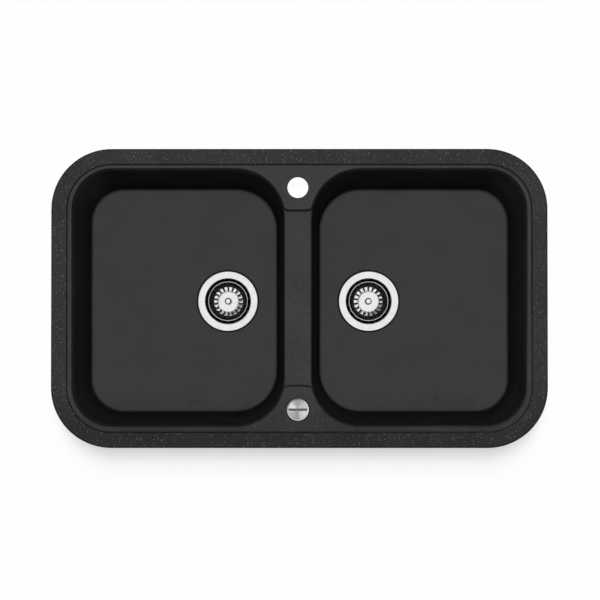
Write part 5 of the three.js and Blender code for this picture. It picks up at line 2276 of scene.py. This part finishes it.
    def knob_face(self, centre: Point) -> Material:
        """The knob's spun face, with its sheen painted into the colour by angle round the axis, a
        painted glint below the grip and painted shade in the grip.

        Args:
            centre: The knob's axis, in metres.

        Returns:
            The material.
        """
        finish = self.steel(SPUN_KNOB, centre)
        graph, look = finish.graph, KnobLook()
        x, y, z = graph.split(finish.place)
        turn = graph.math("MULTIPLY_ADD", graph.math("ARCTAN2", y, x), 1 / (2 * math.pi), 1.0)
        wedges = graph.add("ShaderNodeValToRGB", {0: graph.math("FRACT", turn)})
        stops = wedges.color_ramp.elements
        while len(stops) < len(look.wedges):
            stops.new(1.0)
        for stop, (degrees, level) in zip(stops, look.wedges, strict=True):
            stop.position = degrees / 360
            stop.color = (level, level, level, 1.0)
        on_face = graph.times(graph.fade(z, look.face), graph.fade(graph.reach(x, y), look.face_radius))
        in_length = graph.fade(graph.math("ABSOLUTE", x), look.grip_length)
        in_width = graph.fade(graph.math("ABSOLUTE", y), look.grip_width)
        glint = graph.times(*(graph.fade(y, fade) for fade in look.glint), in_length)
        in_grip = graph.times(in_width, in_length, graph.fade(z, look.grip_height))
        sheen = graph.mix(on_face, WHITE, wedges.outputs[0])
        sheen = graph.mix(glint, sheen, look.glint_shade)
        sheen = graph.mix(in_grip, sheen, look.grip_shade)
        tint = graph.mix(1.0, finish.looks.outputs["Colour"], sheen, "MULTIPLY")
        finish.set_shader({"Base Color": tint})
        return finish.material


# ---------------------------------------------------------------- camera, lamps and surroundings


class Photo:
    """The camera that took the photo."""

    location = Vector((0.0128, -0.107, 4.281))
    target = Vector((0.0011, -0.0029, 0.007))
    lens = 153.5
    sensor = 36.0
    far = 60.0

    def build(self) -> None:
        """Set up the camera."""
        bpy.ops.object.camera_add(location=self.location)
        camera = named("photo_camera")
        ahead = (self.target - self.location).normalized()
        right = ahead.cross(Vector((0, 1, 0))).normalized()
        turn = Matrix((right, right.cross(ahead), -ahead)).transposed()
        camera.rotation_euler = turn.to_euler()
        camera.data.lens = self.lens
        camera.data.sensor_width = self.sensor
        camera.data.clip_end = self.far
        bpy.context.scene.camera = camera


@dataclass(frozen=True)
class Lamp:
    """An oblong soft lamp that points at the origin and doesn't show in reflections."""

    name: str
    place: Vector
    width: float
    length: float
    watts: float

    def build(self) -> Object:
        """Set up the lamp.

        Returns:
            The lamp.
        """
        bpy.ops.object.light_add(type="AREA", location=self.place)
        lamp = named(self.name)
        lamp.rotation_euler = (-self.place).to_track_quat("-Z", "Y").to_euler()
        lamp.data.shape = "RECTANGLE"
        lamp.data.size = self.width
        lamp.data.size_y = self.length
        lamp.data.energy = self.watts
        lamp.visible_glossy = False
        return lamp


LAMPS = (
    Lamp("overhead_lamp_near", Vector((0.0, 0.375, 8.0)), 0.7, 0.75, 400.0),
    Lamp("overhead_lamp_far", Vector((0.0, 0.7, 8.0)), 0.7, 1.4, 400.0),
)


class Surroundings:
    """The white floor with the sink's shadow, and the studio that metal reflects."""

    floor_z = -0.2886
    floor_size = 40.0
    white: Colour = (0.325, 0.325, 0.325)
    bounce: Colour = (0.12, 0.12, 0.12)
    # the floor's glow, and the stronger glow under the tap hole, a painted pool of light
    painted_light_patch = Fade(0.028, 0.022, 0.583, 0.938)
    under_tap = (-0.0035, 0.2055)
    studio = Fade(0.3, 0.93, 0.16, 0.92)
    far_corner = (-0.6, 0.8, 0.0)
    overhead = Fade(0.78, 0.84)
    shade = Fade(0.1, 0.24, 1.0, 0.2)
    fill = Fade(0.07, 0.03, 0.1, 4.5)

    def floor(self) -> None:
        """A white floor that keeps the shadow. The piece of it seen through the tap hole glows brighter,
        a painted pool of light.
        """
        clear_selection()
        bpy.ops.mesh.primitive_plane_add(size=self.floor_size, location=(0, 0, 0))
        plane = turn_mesh(named("studio_floor"), Matrix.Translation((0, 0, self.floor_z)))
        material = bpy.data.materials.new("studio_floor")
        material.use_nodes = True
        graph = Graph(material.node_tree)
        path = graph.add("ShaderNodeLightPath").outputs
        seen = graph.math("ADD", path["Is Camera Ray"], path["Is Glossy Ray"], clamp=True)
        seen = graph.math("ADD", seen, path["Is Transmission Ray"], clamp=True)
        place = graph.add("ShaderNodeTexCoord").outputs["Object"]
        away = graph.vector("SUBTRACT", place, (*self.under_tap, self.floor_z))
        glow = graph.fade(graph.vector("LENGTH", away), self.painted_light_patch)
        colour = graph.mix(seen, self.bounce, self.white)
        diffuse = graph.add("ShaderNodeBsdfDiffuse", {"Color": colour})
        light = graph.add("ShaderNodeEmission", {"Strength": graph.times(glow, seen)})
        both = graph.add("ShaderNodeAddShader", {0: diffuse.outputs[0], 1: light.outputs[0]})
        graph.add("ShaderNodeOutputMaterial", {"Surface": both.outputs[0]})
        plane.data.materials.append(material)

    def world(self) -> None:
        """White behind the object, a graded studio in reflections and little light from all round."""
        world = bpy.data.worlds.new("studio")
        bpy.context.scene.world = world
        world.use_nodes = True
        graph = Graph(world.node_tree)
        path = graph.add("ShaderNodeLightPath").outputs
        way = graph.add("ShaderNodeTexCoord").outputs["Generated"]
        z = graph.split(way)[2]
        corner = graph.vector("DOT_PRODUCT", way, self.far_corner)
        shade = graph.fade(graph.times(corner, graph.fade(z, self.overhead)), self.shade)
        studio = graph.times(graph.fade(z, self.studio), shade)
        ambient = graph.mix(path["Is Glossy Ray"], graph.fade(z, self.fill), studio)
        seen = graph.math("ADD", path["Is Camera Ray"], path["Is Transmission Ray"], clamp=True)
        background = graph.add("ShaderNodeBackground", {"Color": graph.mix(seen, ambient, WHITE)})
        graph.add("ShaderNodeOutputWorld", {"Surface": background.outputs[0]})

    def build(self) -> None:
        """Set up floor, world and lamps."""
        self.floor()
        self.world()
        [lamp.build() for lamp in LAMPS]


# ---------------------------------------------------------------- the whole sink


def main() -> None:
    """Build the sink, its surroundings and the camera."""
    logging.basicConfig(level=logging.INFO, format="%(name)s: %(message)s")
    sizes = SinkSizes()
    finishes = Finishes(sizes)
    moulding = SinkBody(sizes)
    moulding.build(finishes)
    RimSeal().build(finishes, moulding)
    floor = sizes.floor * MM
    Waste(finishes, "left_waste", sizes.drain(-1), floor).build()
    PopUpWaste(finishes, "right_waste", sizes.drain(1), floor).build()
    KnobUnit(finishes, sizes.knob()).build()
    Claws().build(finishes)
    Surroundings().build()
    Photo().build()
    view = bpy.context.scene.view_settings
    view.view_transform = "Standard"


if __name__ == "__main__":
    main()
